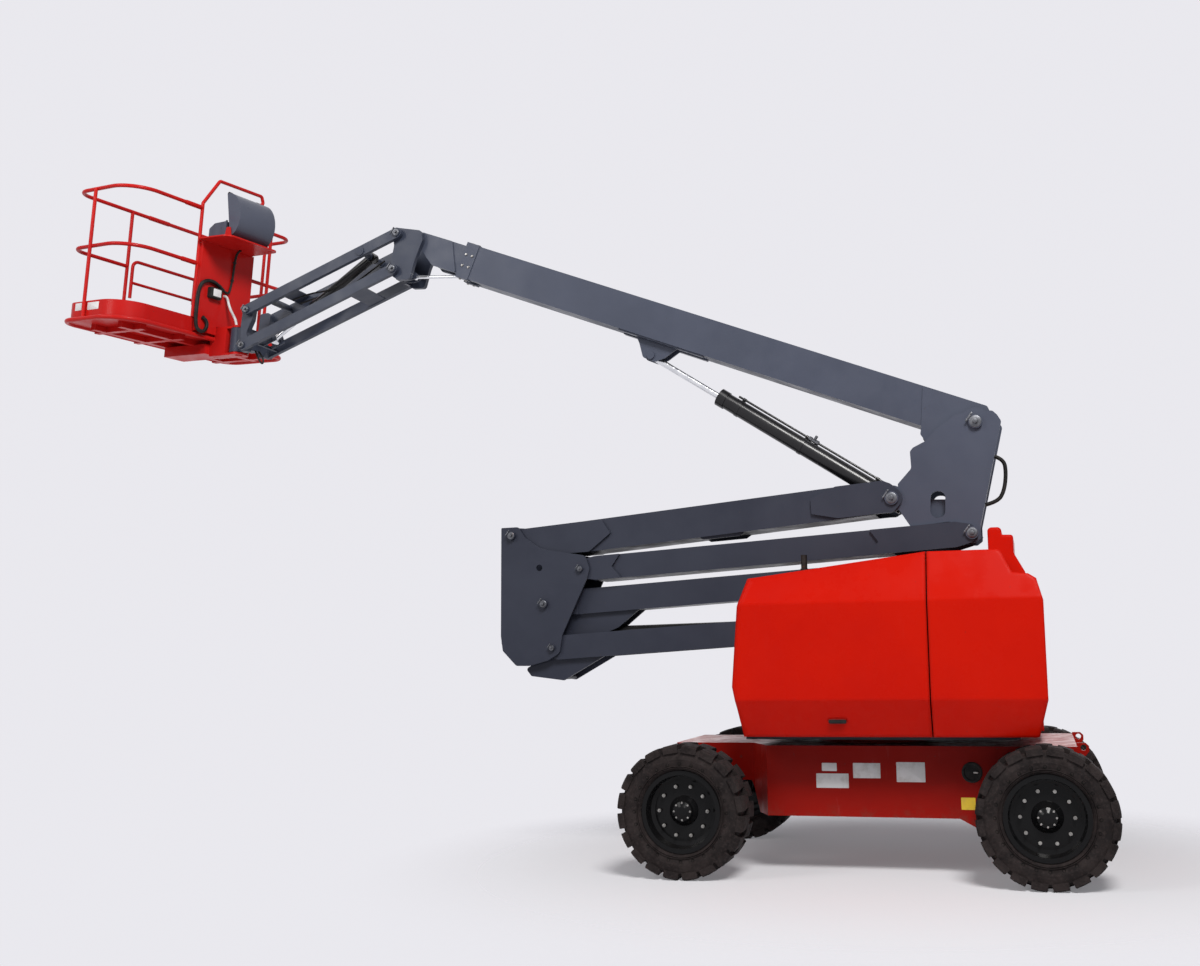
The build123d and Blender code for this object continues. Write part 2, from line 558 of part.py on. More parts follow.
def hood():
    """Near-side engine hood: a hollow shell open at its foot and rear seam."""
    outer = side_cover(HOOD_FRONT_X, HOOD_SEAM_X, HOOD_TOP_FRONT, HOOD_TOP_REAR)
    inner = side_cover(HOOD_FRONT_X + HOOD_SKIN, HOOD_SEAM_X + 30, HOOD_TOP_FRONT, HOOD_TOP_REAR + 3,
        HOOD_SKIN)
    trim = [(HOOD_FRONT_X - 10, HOOD_BOTTOM - 20), (HOOD_FRONT_X + 72, HOOD_BOTTOM - 20),
        (HOOD_FRONT_X, 1310),
            (HOOD_FRONT_X + 45, 1863), (HOOD_FRONT_X + 110, HOOD_TOP_FRONT + 40),
            (HOOD_FRONT_X - 10, HOOD_TOP_FRONT + 40)]
    nose = prism_xz(trim, -HOOD_HALF_WIDTH - 10, -HOOD_INNER_Y + 10)
    front = [(HOOD_FRONT_X + 60, HOOD_BOTTOM), (HOOD_FRONT_X + 6, 1310), (HOOD_FRONT_X + 51, 1863),
             (HOOD_FRONT_X + 116, HOOD_TOP_FRONT - 5), (HOOD_FRONT_X + 130, HOOD_TOP_FRONT - 5),
             (HOOD_FRONT_X + 60, 1863),
             (HOOD_FRONT_X + 18, 1310), (HOOD_FRONT_X + 74, HOOD_BOTTOM)]
    shell = outer - inner
    shell = shell - nose
    panel = prism_xz(front, -HOOD_HALF_WIDTH, -HOOD_INNER_Y) & outer
    latch_z = 1076.0
    latch_y = HOOD_HALF_WIDTH - HOOD_FOOT_STEP * (HOOD_LOW_CREASE - latch_z) / (HOOD_LOW_CREASE - HOOD_BOTTOM)
    handle = block(-180, -70, -latch_y - 14, -latch_y + 6, latch_z - 10, latch_z + 10)
    return shell + panel + handle


def counterweight():
    """Cast counterweight that wraps round the rear of the turntable."""
    x0 = HOOD_SEAM_X + SEAM_GAP
    near = side_cover(x0, HOOD_REAR_X, HOOD_TOP_REAR, HOOD_TOP_REAR)
    near = near - prism_xz([(970, HOOD_TOP_REAR + 20), (1010, HOOD_TOP_REAR - 20), (1078, 2053),
        (1181, 2043),
                            (1231, 2010), (HOOD_REAR_X, 1862), (HOOD_REAR_X, 1209),
                            (1200, HOOD_BOTTOM - 10),
                            (HOOD_REAR_X + 20, HOOD_BOTTOM - 10), (HOOD_REAR_X + 20, HOOD_TOP_REAR + 20)],
                           -HOOD_HALF_WIDTH - 10, -HOOD_INNER_Y + 10)
    near = near - block(x0 - 5, 1110, -1000, -HOOD_INNER_Y - 60, 1380, 2080)
    rear = block(960, 1235, -HOOD_INNER_Y - 2, HOOD_INNER_Y + 2, DECK_HIGH, REAR_BLOCK_TOP)
    return both_sides(near) + rear


def tower_cover():
    """Moulded cover behind the tower, stepped down to the rear."""
    foot = REAR_BLOCK_TOP + SEAT_PLAY
    steps = [(965, foot), (905, 2090), (905, 2425), (1005, 2425), (1005, 2369), (1086, 2366),
        (1086, 2231), (1160, 2093), (1160, foot)]
    return prism_xz(steps, -HOOD_INNER_Y + 20, HOOD_INNER_Y - 20, [0, 10, 30, 30, 10, 20, 20, 20, 10])


def engine_block():
    """Engine as one plain block on the far-side deck."""
    x = -120
    y = 330 + ENGINE_WIDTH / 2 + 60
    return block(x - ENGINE_LENGTH / 2, x + ENGINE_LENGTH / 2, y - ENGINE_WIDTH / 2, y + ENGINE_WIDTH / 2,
                 DECK_HIGH, DECK_HIGH + ENGINE_HEIGHT)


def lower_arm():
    """Lower tower arm with the deep bracket that takes the lift cylinder's rod."""
    place = axis_frame(TOWER_ARM_BASE, LOWER_ARM_PIN)
    half_width = LOWER_ARM_HALF_WIDTH
    beam = box_tube(60, LOWER_PITCH - 90, 0, 0, half_width, ARM_WALL, LOWER_ARM_HEIGHT)
    boss = drum_y(0, 0, 62, -half_width - 12, half_width + 12)
    far_boss = drum_y(LOWER_PITCH, 0, 62, -MID_PLATE_IN + 2, MID_PLATE_IN - 2)
    near_fork = prism_xz([(0, -62), (240, -100), (240, 100), (0, 62)], half_width - 1, half_width + 12)
    far_fork = prism_xz([(LOWER_PITCH, -62), (LOWER_PITCH - 260, -100), (LOWER_PITCH - 260, 100),
        (LOWER_PITCH, 62)],
                        half_width - 1, half_width + 12)
    body = beam + both_sides(near_fork) + both_sides(far_fork) + boss + far_boss
    arm = place * body
    bracket = prism_xz([(-1800, 1920), (-2000, 1758), (-2340, 1618), (-2490, 1625), (-2545, 1700),
        (-2560, 1900),
                        (-2300, 1975), (-1850, 1990)], 75, 95, [20, 20, 40, 40, 40, 10, 10, 10])
    arm = arm + both_sides(bracket)
    arm = arm - place * drum_y(0, 0, TOWER_PIN_RADIUS + PIN_PLAY, -300, 300)
    arm = arm - place * drum_y(LOWER_PITCH, 0, TOWER_PIN_RADIUS + PIN_PLAY, -300, 300)
    heads = round_about(TOWER_CYL_EYE, 40, 94, 106)
    return arm + heads


def lower_link():
    """Lower tower link: two bars outside the lower arm, tied at their ends."""
    place = axis_frame(TOWER_LINK_BASE, LOWER_LINK_PIN)
    half = LOWER_LINK_HEIGHT / 2
    y0 = LOWER_LINK_IN
    y1 = LOWER_LINK_IN + LOWER_LINK_BAR
    bar = prism_xz([(-70, -50), (-40, -75), (200, -half), (LOWER_PITCH - 30, -half),
        (LOWER_PITCH + 60, -60),
                    (LOWER_PITCH + 80, 0), (LOWER_PITCH + 60, 60), (LOWER_PITCH - 30, half), (200, half),
                    (-40, 75),
                    (-70, 50)], y0, y1, [20, 20, 40, 40, 30, 30, 30, 40, 40, 20, 20])
    keel = prism_xz([(LOWER_PITCH - 420, -half + 5), (LOWER_PITCH - 60, -262), (LOWER_PITCH + 215, -210),
                     (LOWER_PITCH + 258, -150), (LOWER_PITCH + 100, -half + 30)], y0 - 18, y0 + 1,
                     [5, 10, 20, 20, 5])
    tie = drum_y(LOWER_PITCH - 60, -235, 20, -y0 + 5, y0 - 5)
    tube = drum_y(0, 0, 58, -y1, y1)
    body = both_sides(bar + keel) + tie + tube
    body = body - drum_y(0, 0, TOWER_PIN_RADIUS + PIN_PLAY, -300, 300)
    body = body - drum_y(LOWER_PITCH, 0, TOWER_PIN_RADIUS + PIN_PLAY, -300, 300)
    return place * body


def mid_knuckle():
    """Mid knuckle: two side plates, an end plate and the four arm pins."""
    outline = [(-2963, 2577), (-2815, 2579), (-2755, 2490), (-2632, 2405), (-2563, 2385), (-2240, 2330),
        (-2205, 2220),
               (-2225, 2150), (-2436, 1702), (-2460, 1560), (-2560, 1500), (-2717, 1460), (-2829, 1461),
               (-2946, 1582), (-2963, 1700)]
    side = prism_xz(outline, MID_PLATE_IN, MID_PLATE_IN + MID_PLATE,
                    [8, 30, 60, 60, 40, 60, 40, 30, 30, 40, 30, 40, 40, 30, 30])
    side -= drum_y(-2632, 2242, 26, MID_PLATE_IN - 5, MID_PLATE_IN + MID_PLATE + 5)
    end = block(-2963, -2951, -MID_PLATE_IN - 1, MID_PLATE_IN + 1, 1640, 2500)
    y_out = MID_PLATE_IN + MID_PLATE
    through = drum_y(UPPER_ARM_PIN[0], UPPER_ARM_PIN[1], TOWER_PIN_RADIUS, -y_out, y_out)
    through += drum_y(UPPER_LINK_PIN[0], UPPER_LINK_PIN[1], TOWER_PIN_RADIUS, -y_out, y_out)
    through += drum_y(LOWER_ARM_PIN[0], LOWER_ARM_PIN[1], TOWER_PIN_RADIUS, -y_out, y_out)
    short = both_sides(drum_y(LOWER_LINK_PIN[0], LOWER_LINK_PIN[1], TOWER_PIN_RADIUS, LOWER_LINK_IN - 6,
        y_out))
    heads = round_about(UPPER_ARM_PIN, 34, y_out - 1, y_out + 30) + round_about(LOWER_ARM_PIN, 34,
        y_out - 1, y_out + 30)
    heads += round_about(UPPER_LINK_PIN, 26, y_out - 1, y_out + 22) + round_about(LOWER_LINK_PIN, 26,
        y_out - 1, y_out + 22)
    stiffener = drum_y(-2790, 2180, 30, -MID_PLATE_IN - 1, MID_PLATE_IN + 1)
    return both_sides(side) + end + through + short + heads + stiffener


def upper_arm():
    """Upper tower arm: box beam with a forked, slotted end for the boom cylinder."""
    place = axis_frame(UPPER_ARM_PIN, KNUCKLE_ARM_PIN)
    end = UPPER_PITCH
    beam = box_tube(500, end - 140, -62, 14, ARM_HALF_WIDTH, ARM_WALL, UPPER_ARM_HEIGHT)
    slot = block(end - 960, end + 10, -85, 85, 60, 200)
    head = prism_xz([(-62, -20), (-30, -62), (40, -110), (200, -176), (640, -185), (830, -52), (760, 66),
        (560, 62),
                     (110, 52), (40, 62), (-30, 55), (-62, 20)], ARM_HALF_WIDTH - 1, FORK_OUT - 2,
                    [20, 20, 30, 40, 40, 10, 40, 30, 20, 20, 20, 20])
    web = block(300, 520, -ARM_HALF_WIDTH, ARM_HALF_WIDTH, -176, -164) + block(300, 520, -ARM_HALF_WIDTH,
        ARM_HALF_WIDTH, 48, 60)
    eye = drum_y(0, 0, 56, -FORK_OUT + 2, FORK_OUT - 2)
    fork = prism_xz([(end - 620, -62), (end - 420, -113), (end - 60, -108), (end, -112), (end + 112, 0),
        (end, 112), (end - 60, 140),
                     (end - 420, 132), (end - 620, 60)], ARM_HALF_WIDTH - 1, FORK_OUT - 2,
                    [10, 20, 40, 60, 80, 60, 40, 20, 10])
    plate = prism_xz([(1490, -110), (1575, -170), (1870, -170), (1995, -95), (1995, -60), (1490, -70)],
                     ARM_HALF_WIDTH - 40, ARM_HALF_WIDTH - 26)
    body = (beam - slot) + both_sides(head) + web + eye + both_sides(fork) + both_sides(plate)
    body = body - drum_y(0, 0, TOWER_PIN_RADIUS + PIN_PLAY, -300, 300)
    body = body - drum_y(end, 0, TOWER_PIN_RADIUS + PIN_PLAY, -300, 300)
    return place * body


def upper_link():
    """Upper tower link: slimmer box beam with long fork plates at the knuckle."""
    place = axis_frame(UPPER_LINK_PIN, KNUCKLE_LINK_PIN)
    half = UPPER_LINK_HEIGHT / 2
    end = UPPER_PITCH
    beam = box_tube(90, end - 600, 0, 0, ARM_HALF_WIDTH, ARM_WALL, UPPER_LINK_HEIGHT)
    near = prism_xz([(-70, -30), (-30, -70), (120, -half), (330, -half), (255, 0), (330, half),
        (120, half), (-30, 70), (-70, 30)],
                    ARM_HALF_WIDTH - 1, FORK_OUT - 2, [20, 30, 40, 5, 5, 5, 40, 30, 20])
    fork = prism_xz([(end - 760, -half), (end - 120, -half), (end, -66), (end + 66, 0), (end, 66),
        (end - 120, half),
                     (end - 760, half), (end - 700, 0)], ARM_HALF_WIDTH - 1, FORK_OUT - 2,
                    [5, 40, 40, 50, 40, 40, 5, 5])
    eye = drum_y(0, 0, 56, -FORK_OUT + 2, FORK_OUT - 2)
    body = beam + both_sides(near) + both_sides(fork) + eye
    body = body - drum_y(0, 0, TOWER_PIN_RADIUS + PIN_PLAY, -300, 300)
    body = body - drum_y(end, 0, TOWER_PIN_RADIUS + PIN_PLAY, -300, 300)
    return place * body


def upper_knuckle():
    """Upper knuckle: tall twin plates that carry the boom, its cylinder and both links."""
    kx, kz = KNUCKLE_ARM_PIN
    lx, lz = KNUCKLE_LINK_PIN
    outline = [(kx + 48, kz + 108), (360, 2908), (355, 3040), (380, 3068), (468, 3110), (560, 3200),
        (700, 3300), (800, 3318),
               (978, 3318), (1011, 3285), (1040, 3235), (lx + 62, lz + 60), (lx + 62, lz - 40),
               (lx + 20, lz - 72), (lx - 60, lz - 66),
               (lx - 160, lz + 92), (kx + 130, lz + 68), (kx + 50, kz - 90)]
    side = prism_xz(outline, KNUCKLE_PLATE_IN, KNUCKLE_PLATE_IN + KNUCKLE_PLATE,
                    [10, 40, 30, 20, 30, 30, 40, 40, 30, 20, 30, 30, 20, 20, 20, 10, 10, 10])
    side += drum_y(kx, kz, 100, KNUCKLE_PLATE_IN, KNUCKLE_PLATE_IN + KNUCKLE_PLATE)
    side += drum_y(BOOM_PIVOT[0], BOOM_PIVOT[1], 110, KNUCKLE_PLATE_IN, KNUCKLE_PLATE_IN + KNUCKLE_PLATE)
    slot = prism_xz([(489, 2525), (599, 2525), (607, 2726), (497, 2726)], KNUCKLE_PLATE_IN - 5,
                    KNUCKLE_PLATE_IN + KNUCKLE_PLATE + 5, 50)
    side -= slot
    y_out = KNUCKLE_PLATE_IN + KNUCKLE_PLATE
    rear = prism_xz([(lx + 40, lz + 60), (lx + 52, lz + 56), (978, 3020), (966, 3024)],
        -KNUCKLE_PLATE_IN - 1, KNUCKLE_PLATE_IN + 1)
    boom_pin = drum_y(BOOM_PIVOT[0], BOOM_PIVOT[1], BOOM_PIN_RADIUS, -y_out - 22, y_out + 22)
    heads = round_about(BOOM_PIVOT, 52, y_out - 1, y_out + 26)
    arm_pins = both_sides(drum_y(kx, kz, TOWER_PIN_RADIUS, KNUCKLE_PLATE_IN - 14, FORK_OUT + 4))
    arm_pins += round_about(KNUCKLE_ARM_PIN, 52, FORK_OUT + 1, FORK_OUT + 18)
    link_pin = drum_y(lx, lz, TOWER_PIN_RADIUS, -FORK_OUT - 4, FORK_OUT + 4)
    link_pin += round_about(KNUCKLE_LINK_PIN, 48, FORK_OUT + 1, FORK_OUT + 18)
    bx, bz = LIFT_BASE
    cheek = prism_xz([(bx - 62, bz - 10), (bx, bz - 70), (lx - 20, lz + 120), (lx + 60, lz + 260),
        (bx + 40, bz + 62), (bx - 40, bz + 50)],
                     LIFT_RADIUS + 6, LIFT_RADIUS + 24, [20, 30, 10, 10, 30, 30])
    cheek_tie = block(lx - 30, lx - 12, LIFT_RADIUS + 5, KNUCKLE_PLATE_IN + 1, lz + 110, lz + 300)
    base_pin = drum_y(bx, bz, 28, -LIFT_RADIUS - 26, LIFT_RADIUS + 26)
    cheeks = both_sides(cheek + cheek_tie)
    return both_sides(side) + rear + boom_pin + heads + arm_pins + link_pin + cheeks + base_pin


def cylinder_barrel(start, end, radius, length, eye_radius, pin_radius, eye_half):
    """Cylinder barrel with a base eye, from start toward end."""
    place = axis_frame(start, end)
    tube = drum_x(eye_radius * 0.6, length, radius)
    gland = drum_x(length - 60, length + 10, radius + 7)
    eye = drum_y(0, 0, eye_radius, -eye_half, eye_half)
    body = tube + gland + eye
    return place, body - drum_y(0, 0, pin_radius + PIN_PLAY, -200, 200)


def cylinder_rod(start, end, radius, depth, eye_radius, eye_half):
    """Cylinder rod with its eye at end; depth is where the rod starts inside the barrel."""
    place = axis_frame(start, end)
    span = distance(start, end)
    rod = drum_x(depth, span, radius)
    eye = drum_y(span, 0, eye_radius, -eye_half, eye_half)
    return place * (rod + eye)


def bored_barrel(start, end, radius, length, eye_radius, pin_radius, eye_half, rod_radius, depth):
    """Barrel with its rod bore cut from depth to the gland."""
    place, body = cylinder_barrel(start, end, radius, length, eye_radius, pin_radius, eye_half)
    return place * (body - drum_x(depth - 20, length + 30, rod_radius + PIN_PLAY))


def main_boom():
    """Outer boom section with its rear doublers, front collar and cylinder bracket."""
    half = BOOM_HALF
    wide = BOOM_WIDTH / 2
    tube = box_tube(150, BOOM_LENGTH, 0, 0, wide, BOOM_WALL, BOOM_HEIGHT)
    doubler = prism_xz([(-40, half - 2), (-125, 60), (-125, -60), (-60, -165), (120, -235), (314, -248),
        (362, -215), (373, -165),
                        (470, half - 2)], wide - 1, wide + 12, [30, 60, 60, 60, 60, 30, 20, 10, 10])
    boss = drum_y(0, 0, 70, -KNUCKLE_PLATE_IN + 2, KNUCKLE_PLATE_IN - 2)
    cap = block(-20, 152, -wide, wide, half - 12, half) + block(60, 152, -wide, wide, -half, -half + 12)
    collar = box_tube(BOOM_LENGTH - 120, BOOM_LENGTH, 0, 0, wide + 8, 9, BOOM_HEIGHT + 16)
    gap_z = (BOOM_HEIGHT - FLY_HEIGHT) / 2 - BOOM_WALL
    gap_y = (BOOM_WIDTH - FLY_WIDTH) / 2 - BOOM_WALL
    notch_y = 50.0
    pad_top = both_sides(block(BOOM_LENGTH - 110, BOOM_LENGTH - 10, notch_y + 2, FLY_WIDTH / 2 - 10,
                               FLY_HEIGHT / 2 + SEAT_PLAY, FLY_HEIGHT / 2 + gap_z + 1))
    pad_low = mirror(pad_top, about=Plane.XY)
    notch = block(BOOM_LENGTH - 190, BOOM_LENGTH + 10, -notch_y, notch_y, -half - 20, -half + 20)
    pad_side = block(BOOM_LENGTH - 110, BOOM_LENGTH - 10, FLY_WIDTH / 2 + SEAT_PLAY,
        FLY_WIDTH / 2 + gap_y + 1, -70, 70)
    eye = LIFT_EYE_U
    drop = -LIFT_EYE_V
    cheek = prism_xz([(eye - 200, -half + 3), (eye - 120, -drop + 15), (eye - 50, -drop - 38),
        (eye + 60, -drop - 34),
                      (eye + 130, -half - 60), (eye + 190, -half + 3)], EYE_HALF_WIDTH + 8,
                      EYE_HALF_WIDTH + 8 + CHEEK,
                     [5, 40, 30, 30, 30, 5])
    long_pad = block(eye - 430, eye + 330, -wide + 12, wide - 12, -half - 12, -half + 1)
    pin_heads = both_sides(drum_y(eye, -drop, 32, EYE_HALF_WIDTH + 8 + CHEEK - 1,
        EYE_HALF_WIDTH + CHEEK + 24))
    body = tube + both_sides(doubler) + boss + cap + collar + pad_top + pad_low + both_sides(pad_side)
    body = body + both_sides(cheek) + pin_heads
    body = body + (long_pad - block(eye - 440, eye + 340, -EYE_HALF_WIDTH - 8, EYE_HALF_WIDTH + 8,
        -half - 20, -half))
    body = body - drum_y(0, 0, BOOM_PIN_RADIUS + PIN_PLAY, -300, 300)
    body = body - drum_y(376, 70, 26, -wide - 40, -wide + 20) - notch
    return BOOM_FRAME * body


def fly_boom():
    """Inner boom section with the head plates that carry the jib knuckle."""
    half = FLY_HEIGHT / 2
    wide = FLY_WIDTH / 2
    tube = box_tube(FLY_TAIL, FLY_TUBE_END, 0, 0, wide, FLY_WALL, FLY_HEIGHT)
    slot = block(LEVEL_BASE_U + 120, FLY_TUBE_END + 5, -LEVEL_SLOT_HALF, LEVEL_SLOT_HALF, -half - 5,
        -half + FLY_WALL + 2)
    head = prism_xz([(FLY_TUBE_END - 190, -half + 1), (FLY_TUBE_END + 45, -half - 2), (TIP_PIN_U + 10, 5),
                     (TIP_PIN_U + 48, 30), (TIP_PIN_U + 48, 96), (TIP_PIN_U, half - 3),
                     (FLY_TUBE_END - 60, half)],
                    wide - 1, wide + 12, [10, 30, 30, 30, 30, 40, 10])
    boss = both_sides(drum_y(TIP_PIN_U, TIP_PIN_V, 44, wide - 30, wide + 16))
    shoe_z = (BOOM_HEIGHT - FLY_HEIGHT) / 2 - BOOM_WALL
    shoe = block(FLY_TAIL + 5, FLY_TAIL + 105, -60, 60, half - 1, half + shoe_z - SEAT_PLAY)
    base = both_sides(block(LEVEL_BASE_U - 40, LEVEL_BASE_U + 40, 34, wide - FLY_WALL + 1,
        LEVEL_BASE_V - 30, LEVEL_BASE_V + 30))
    base_pin = drum_y(LEVEL_BASE_U, LEVEL_BASE_V, 14, -40, 40)
    body = (tube - slot) + both_sides(head) + boss + shoe + mirror(shoe, about=Plane.XY) + base + base_pin
    body = body - both_sides(drum_y(TIP_PIN_U, TIP_PIN_V, TIP_PIN_RADIUS + PIN_PLAY, wide - 40, wide + 60))
    return BOOM_FRAME * body


def jib_knuckle():
    """Levelled knuckle at the boom tip: twin plates with the jib and levelling lugs."""
    inside = FLY_WIDTH / 2 + 18 + SEAT_PLAY + 4
    outside = JIB_ARM_IN - 4
    outline = [(-4010, 5200), (-3960, 5236), (-3745, 5192), (-3725, 5110), (-3800, 4930), (-3845, 4765),
        (-3960, 4772),
               (-4040, 4830), (-4030, 4900), (-3995, 5080)]
    side = prism_xz(outline, inside, outside, [30, 25, 30, 40, 40, 30, 30, 30, 30, 30])
    ux, uz = JIB_UPPER_PIN
    lx, lz = JIB_LOWER_PIN
    y_out = JIB_ARM_IN + JIB_ARM_WIDTH
    pins = both_sides(drum_y(ux, uz, JIB_PIN_RADIUS, outside - 10, y_out + 4))
    pins += both_sides(drum_y(lx, lz, JIB_PIN_RADIUS, outside - 10, y_out + 4))
    heads = round_about(JIB_UPPER_PIN, 34, y_out + 2, y_out + 14) + round_about(JIB_LOWER_PIN, 34,
        y_out + 2, y_out + 14)
    tip = both_sides(drum_y(TIP_PIN[0], TIP_PIN[1], TIP_PIN_RADIUS, FLY_WIDTH / 2 - 24, outside))
    face = prism_xz([(-4015, 4890), (-4003, 4888), (-3972, 5080), (-3984, 5082)], -inside - 1, inside + 1)
    lug = prism_xz([(LEVEL_LUG[0] - 125, LEVEL_LUG[1] + 60), (LEVEL_LUG[0] - 125, LEVEL_LUG[1] - 30),
        (LEVEL_LUG[0] - 30, LEVEL_LUG[1] - 36),
                    (LEVEL_LUG[0] + 32, LEVEL_LUG[1] - 20), (LEVEL_LUG[0] + 32, LEVEL_LUG[1] + 24),
                    (LEVEL_LUG[0] - 30, LEVEL_LUG[1] + 60)],
                   30, 44, [5, 10, 25, 20, 20, 20])
    tie = both_sides(block(LEVEL_LUG[0] - 125, LEVEL_LUG[0] - 100, 30, inside + 1, LEVEL_LUG[1] - 40,
        LEVEL_LUG[1] + 70))
    plug = both_sides(drum_y(LEVEL_LUG[0], LEVEL_LUG[1], 24, 43, 54))
    return both_sides(side) + pins + heads + tip + face + both_sides(lug) + tie + plug


def jib_arm_pair(cross_at):
    """Two box arms with cross ties; the first pin is at the origin."""
    y0 = JIB_ARM_IN
    y1 = JIB_ARM_IN + JIB_ARM_WIDTH
    half = JIB_ARM_HEIGHT / 2
    arm = prism_xz([(0, -half), (JIB_LENGTH, -half), (JIB_LENGTH, half), (0, half)], y0, y1)
    arm += drum_y(0, 0, half, y0, y1)
    arm += drum_y(JIB_LENGTH, 0, half, y0, y1)
    arm -= drum_y(0, 0, JIB_PIN_RADIUS + PIN_PLAY, y0 - 5, y1 + 5)
    arm -= drum_y(JIB_LENGTH, 0, JIB_PIN_RADIUS + PIN_PLAY, y0 - 5, y1 + 5)
    body = both_sides(arm)
    for x0, x1, z0, z1 in cross_at:
        body += block(x0, x1, -y0 - 1, y0 + 1, z0, z1)
    return body


def jib_upper_arm():
    """Upper jib arms with the cross shaft that carries the jib cylinder."""
    place = axis_frame(JIB_UPPER_PIN, JIB_UPPER_END)
    half = JIB_ARM_HEIGHT / 2
    body = jib_arm_pair([(1120, 1260, half - 14, half - 4), (1330, 1345, -half + 8, half - 8)])
    shaft = drum_y(JIB_CYL_UPPER, 0, 24, -JIB_ARM_IN - JIB_ARM_WIDTH - 12, JIB_ARM_IN + JIB_ARM_WIDTH + 12)
    bosses = both_sides(drum_y(JIB_CYL_UPPER, 0, 38, JIB_ARM_IN - 12, JIB_ARM_IN + JIB_ARM_WIDTH + 10))
    collars = both_sides(drum_y(JIB_CYL_UPPER, 0, 34, EYE_HALF_WIDTH + 6, EYE_HALF_WIDTH + 20))
    return place * (body + shaft + bosses + collars)


def jib_lower_arm():
    """Lower jib arms with the twin rails that take the cylinder's rod eye."""
    place = axis_frame(JIB_LOWER_PIN, JIB_LOWER_END)
    half = JIB_ARM_HEIGHT / 2
    low = -half + 8
    seam = -6.0
    body = jib_arm_pair([(300, 460, -half + 4, -half + 14), (1440, 1454, low, seam)])
    rail_out = JIB_RAIL_IN + JIB_RAIL
    rails = both_sides(block(JIB_CYL_LOWER - 60, 1454, JIB_RAIL_IN, rail_out, low, seam))
    rails += both_sides(block(JIB_CYL_LOWER - 60, JIB_CYL_LOWER + 60, JIB_RAIL_IN, rail_out, seam - 1,
        half - 8))
    heads = both_sides(drum_y(JIB_CYL_LOWER, 0, 26, rail_out - 1, rail_out + 12))
    return place * (body + rails + heads)


def jib_end():
    """End casting of the jib with the housing of the platform rotator."""
    ux, uz = JIB_UPPER_END
    lx, lz = JIB_LOWER_END
    near = ROTATOR_X + 114
    outline = [(ux + 44, uz + 20), (ux + 20, uz + 46), (ux - 60, uz + 40), (near, ROTATOR_HIGH - 10),
               (near, ROTATOR_LOW + 10), (lx - 60, lz - 46), (lx + 20, lz - 46), (lx + 46, lz),
               (lx + 10, lz + 120), (ux + 30, uz - 80)]
    side = prism_xz(outline, 104, JIB_ARM_IN - 4, [15, 15, 20, 20, 10, 20, 20, 30, 50, 30])
    y_out = JIB_ARM_IN + JIB_ARM_WIDTH
    pins = both_sides(drum_y(ux, uz, JIB_PIN_RADIUS, 110, y_out + 4) + drum_y(lx, lz, JIB_PIN_RADIUS, 110,
        y_out + 4))
    heads = round_about(JIB_UPPER_END, 32, y_out + 2, y_out + 14)
    heads += round_about(JIB_LOWER_END, 32, y_out + 2, y_out + 14)
    web = prism_xz([(ROTATOR_X + 50, ROTATOR_LOW + 14), (lx - 30, ROTATOR_LOW + 14),
        (ux - 60, ROTATOR_HIGH - 14),
                    (ROTATOR_X + 50, ROTATOR_HIGH - 14)], -106, 106)
    housing = drum_z(0, 0, ROTATOR_RADIUS, ROTATOR_LOW, ROTATOR_HIGH)
    housing -= drum_z(0, 0, ROTATOR_SHAFT + PIN_PLAY, ROTATOR_LOW - 5, ROTATOR_HIGH + 5)
    web -= ROTATOR_PLACE * drum_z(0, 0, ROTATOR_RADIUS - 10, ROTATOR_LOW - 5, ROTATOR_HIGH + 5)
    return both_sides(side) + pins + heads + web + ROTATOR_PLACE * housing


def plan_ring(grow):
    """Corner points of the platform plan, grown outward."""
    return [(NEAR_EDGE + grow, NEAR_END - grow), (NEAR_EDGE + grow, FAR_END + grow),
            (FAR_EDGE - grow, FAR_END + grow), (FAR_EDGE - grow, NEAR_END - grow)]


def plan_radii(grow):
    """Corner radii of the plan: the near corner by the boom is much rounder."""
    small = PLATFORM_CORNER + grow
    return [PLATFORM_BIG_CORNER + grow, small, small, small]


def ring_tube(grow, z, radius):
    """Round tube bent round the platform plan at a height."""
    points = [(x, y, z) for x, y in plan_ring(grow)]
    wire = Wire(FilletPolyline(*points, radius=plan_radii(grow), close=True).edges())
    profile = Plane(origin=wire @ 0, z_dir=wire % 0) * Circle(radius)
    return sweep(profile, path=wire)


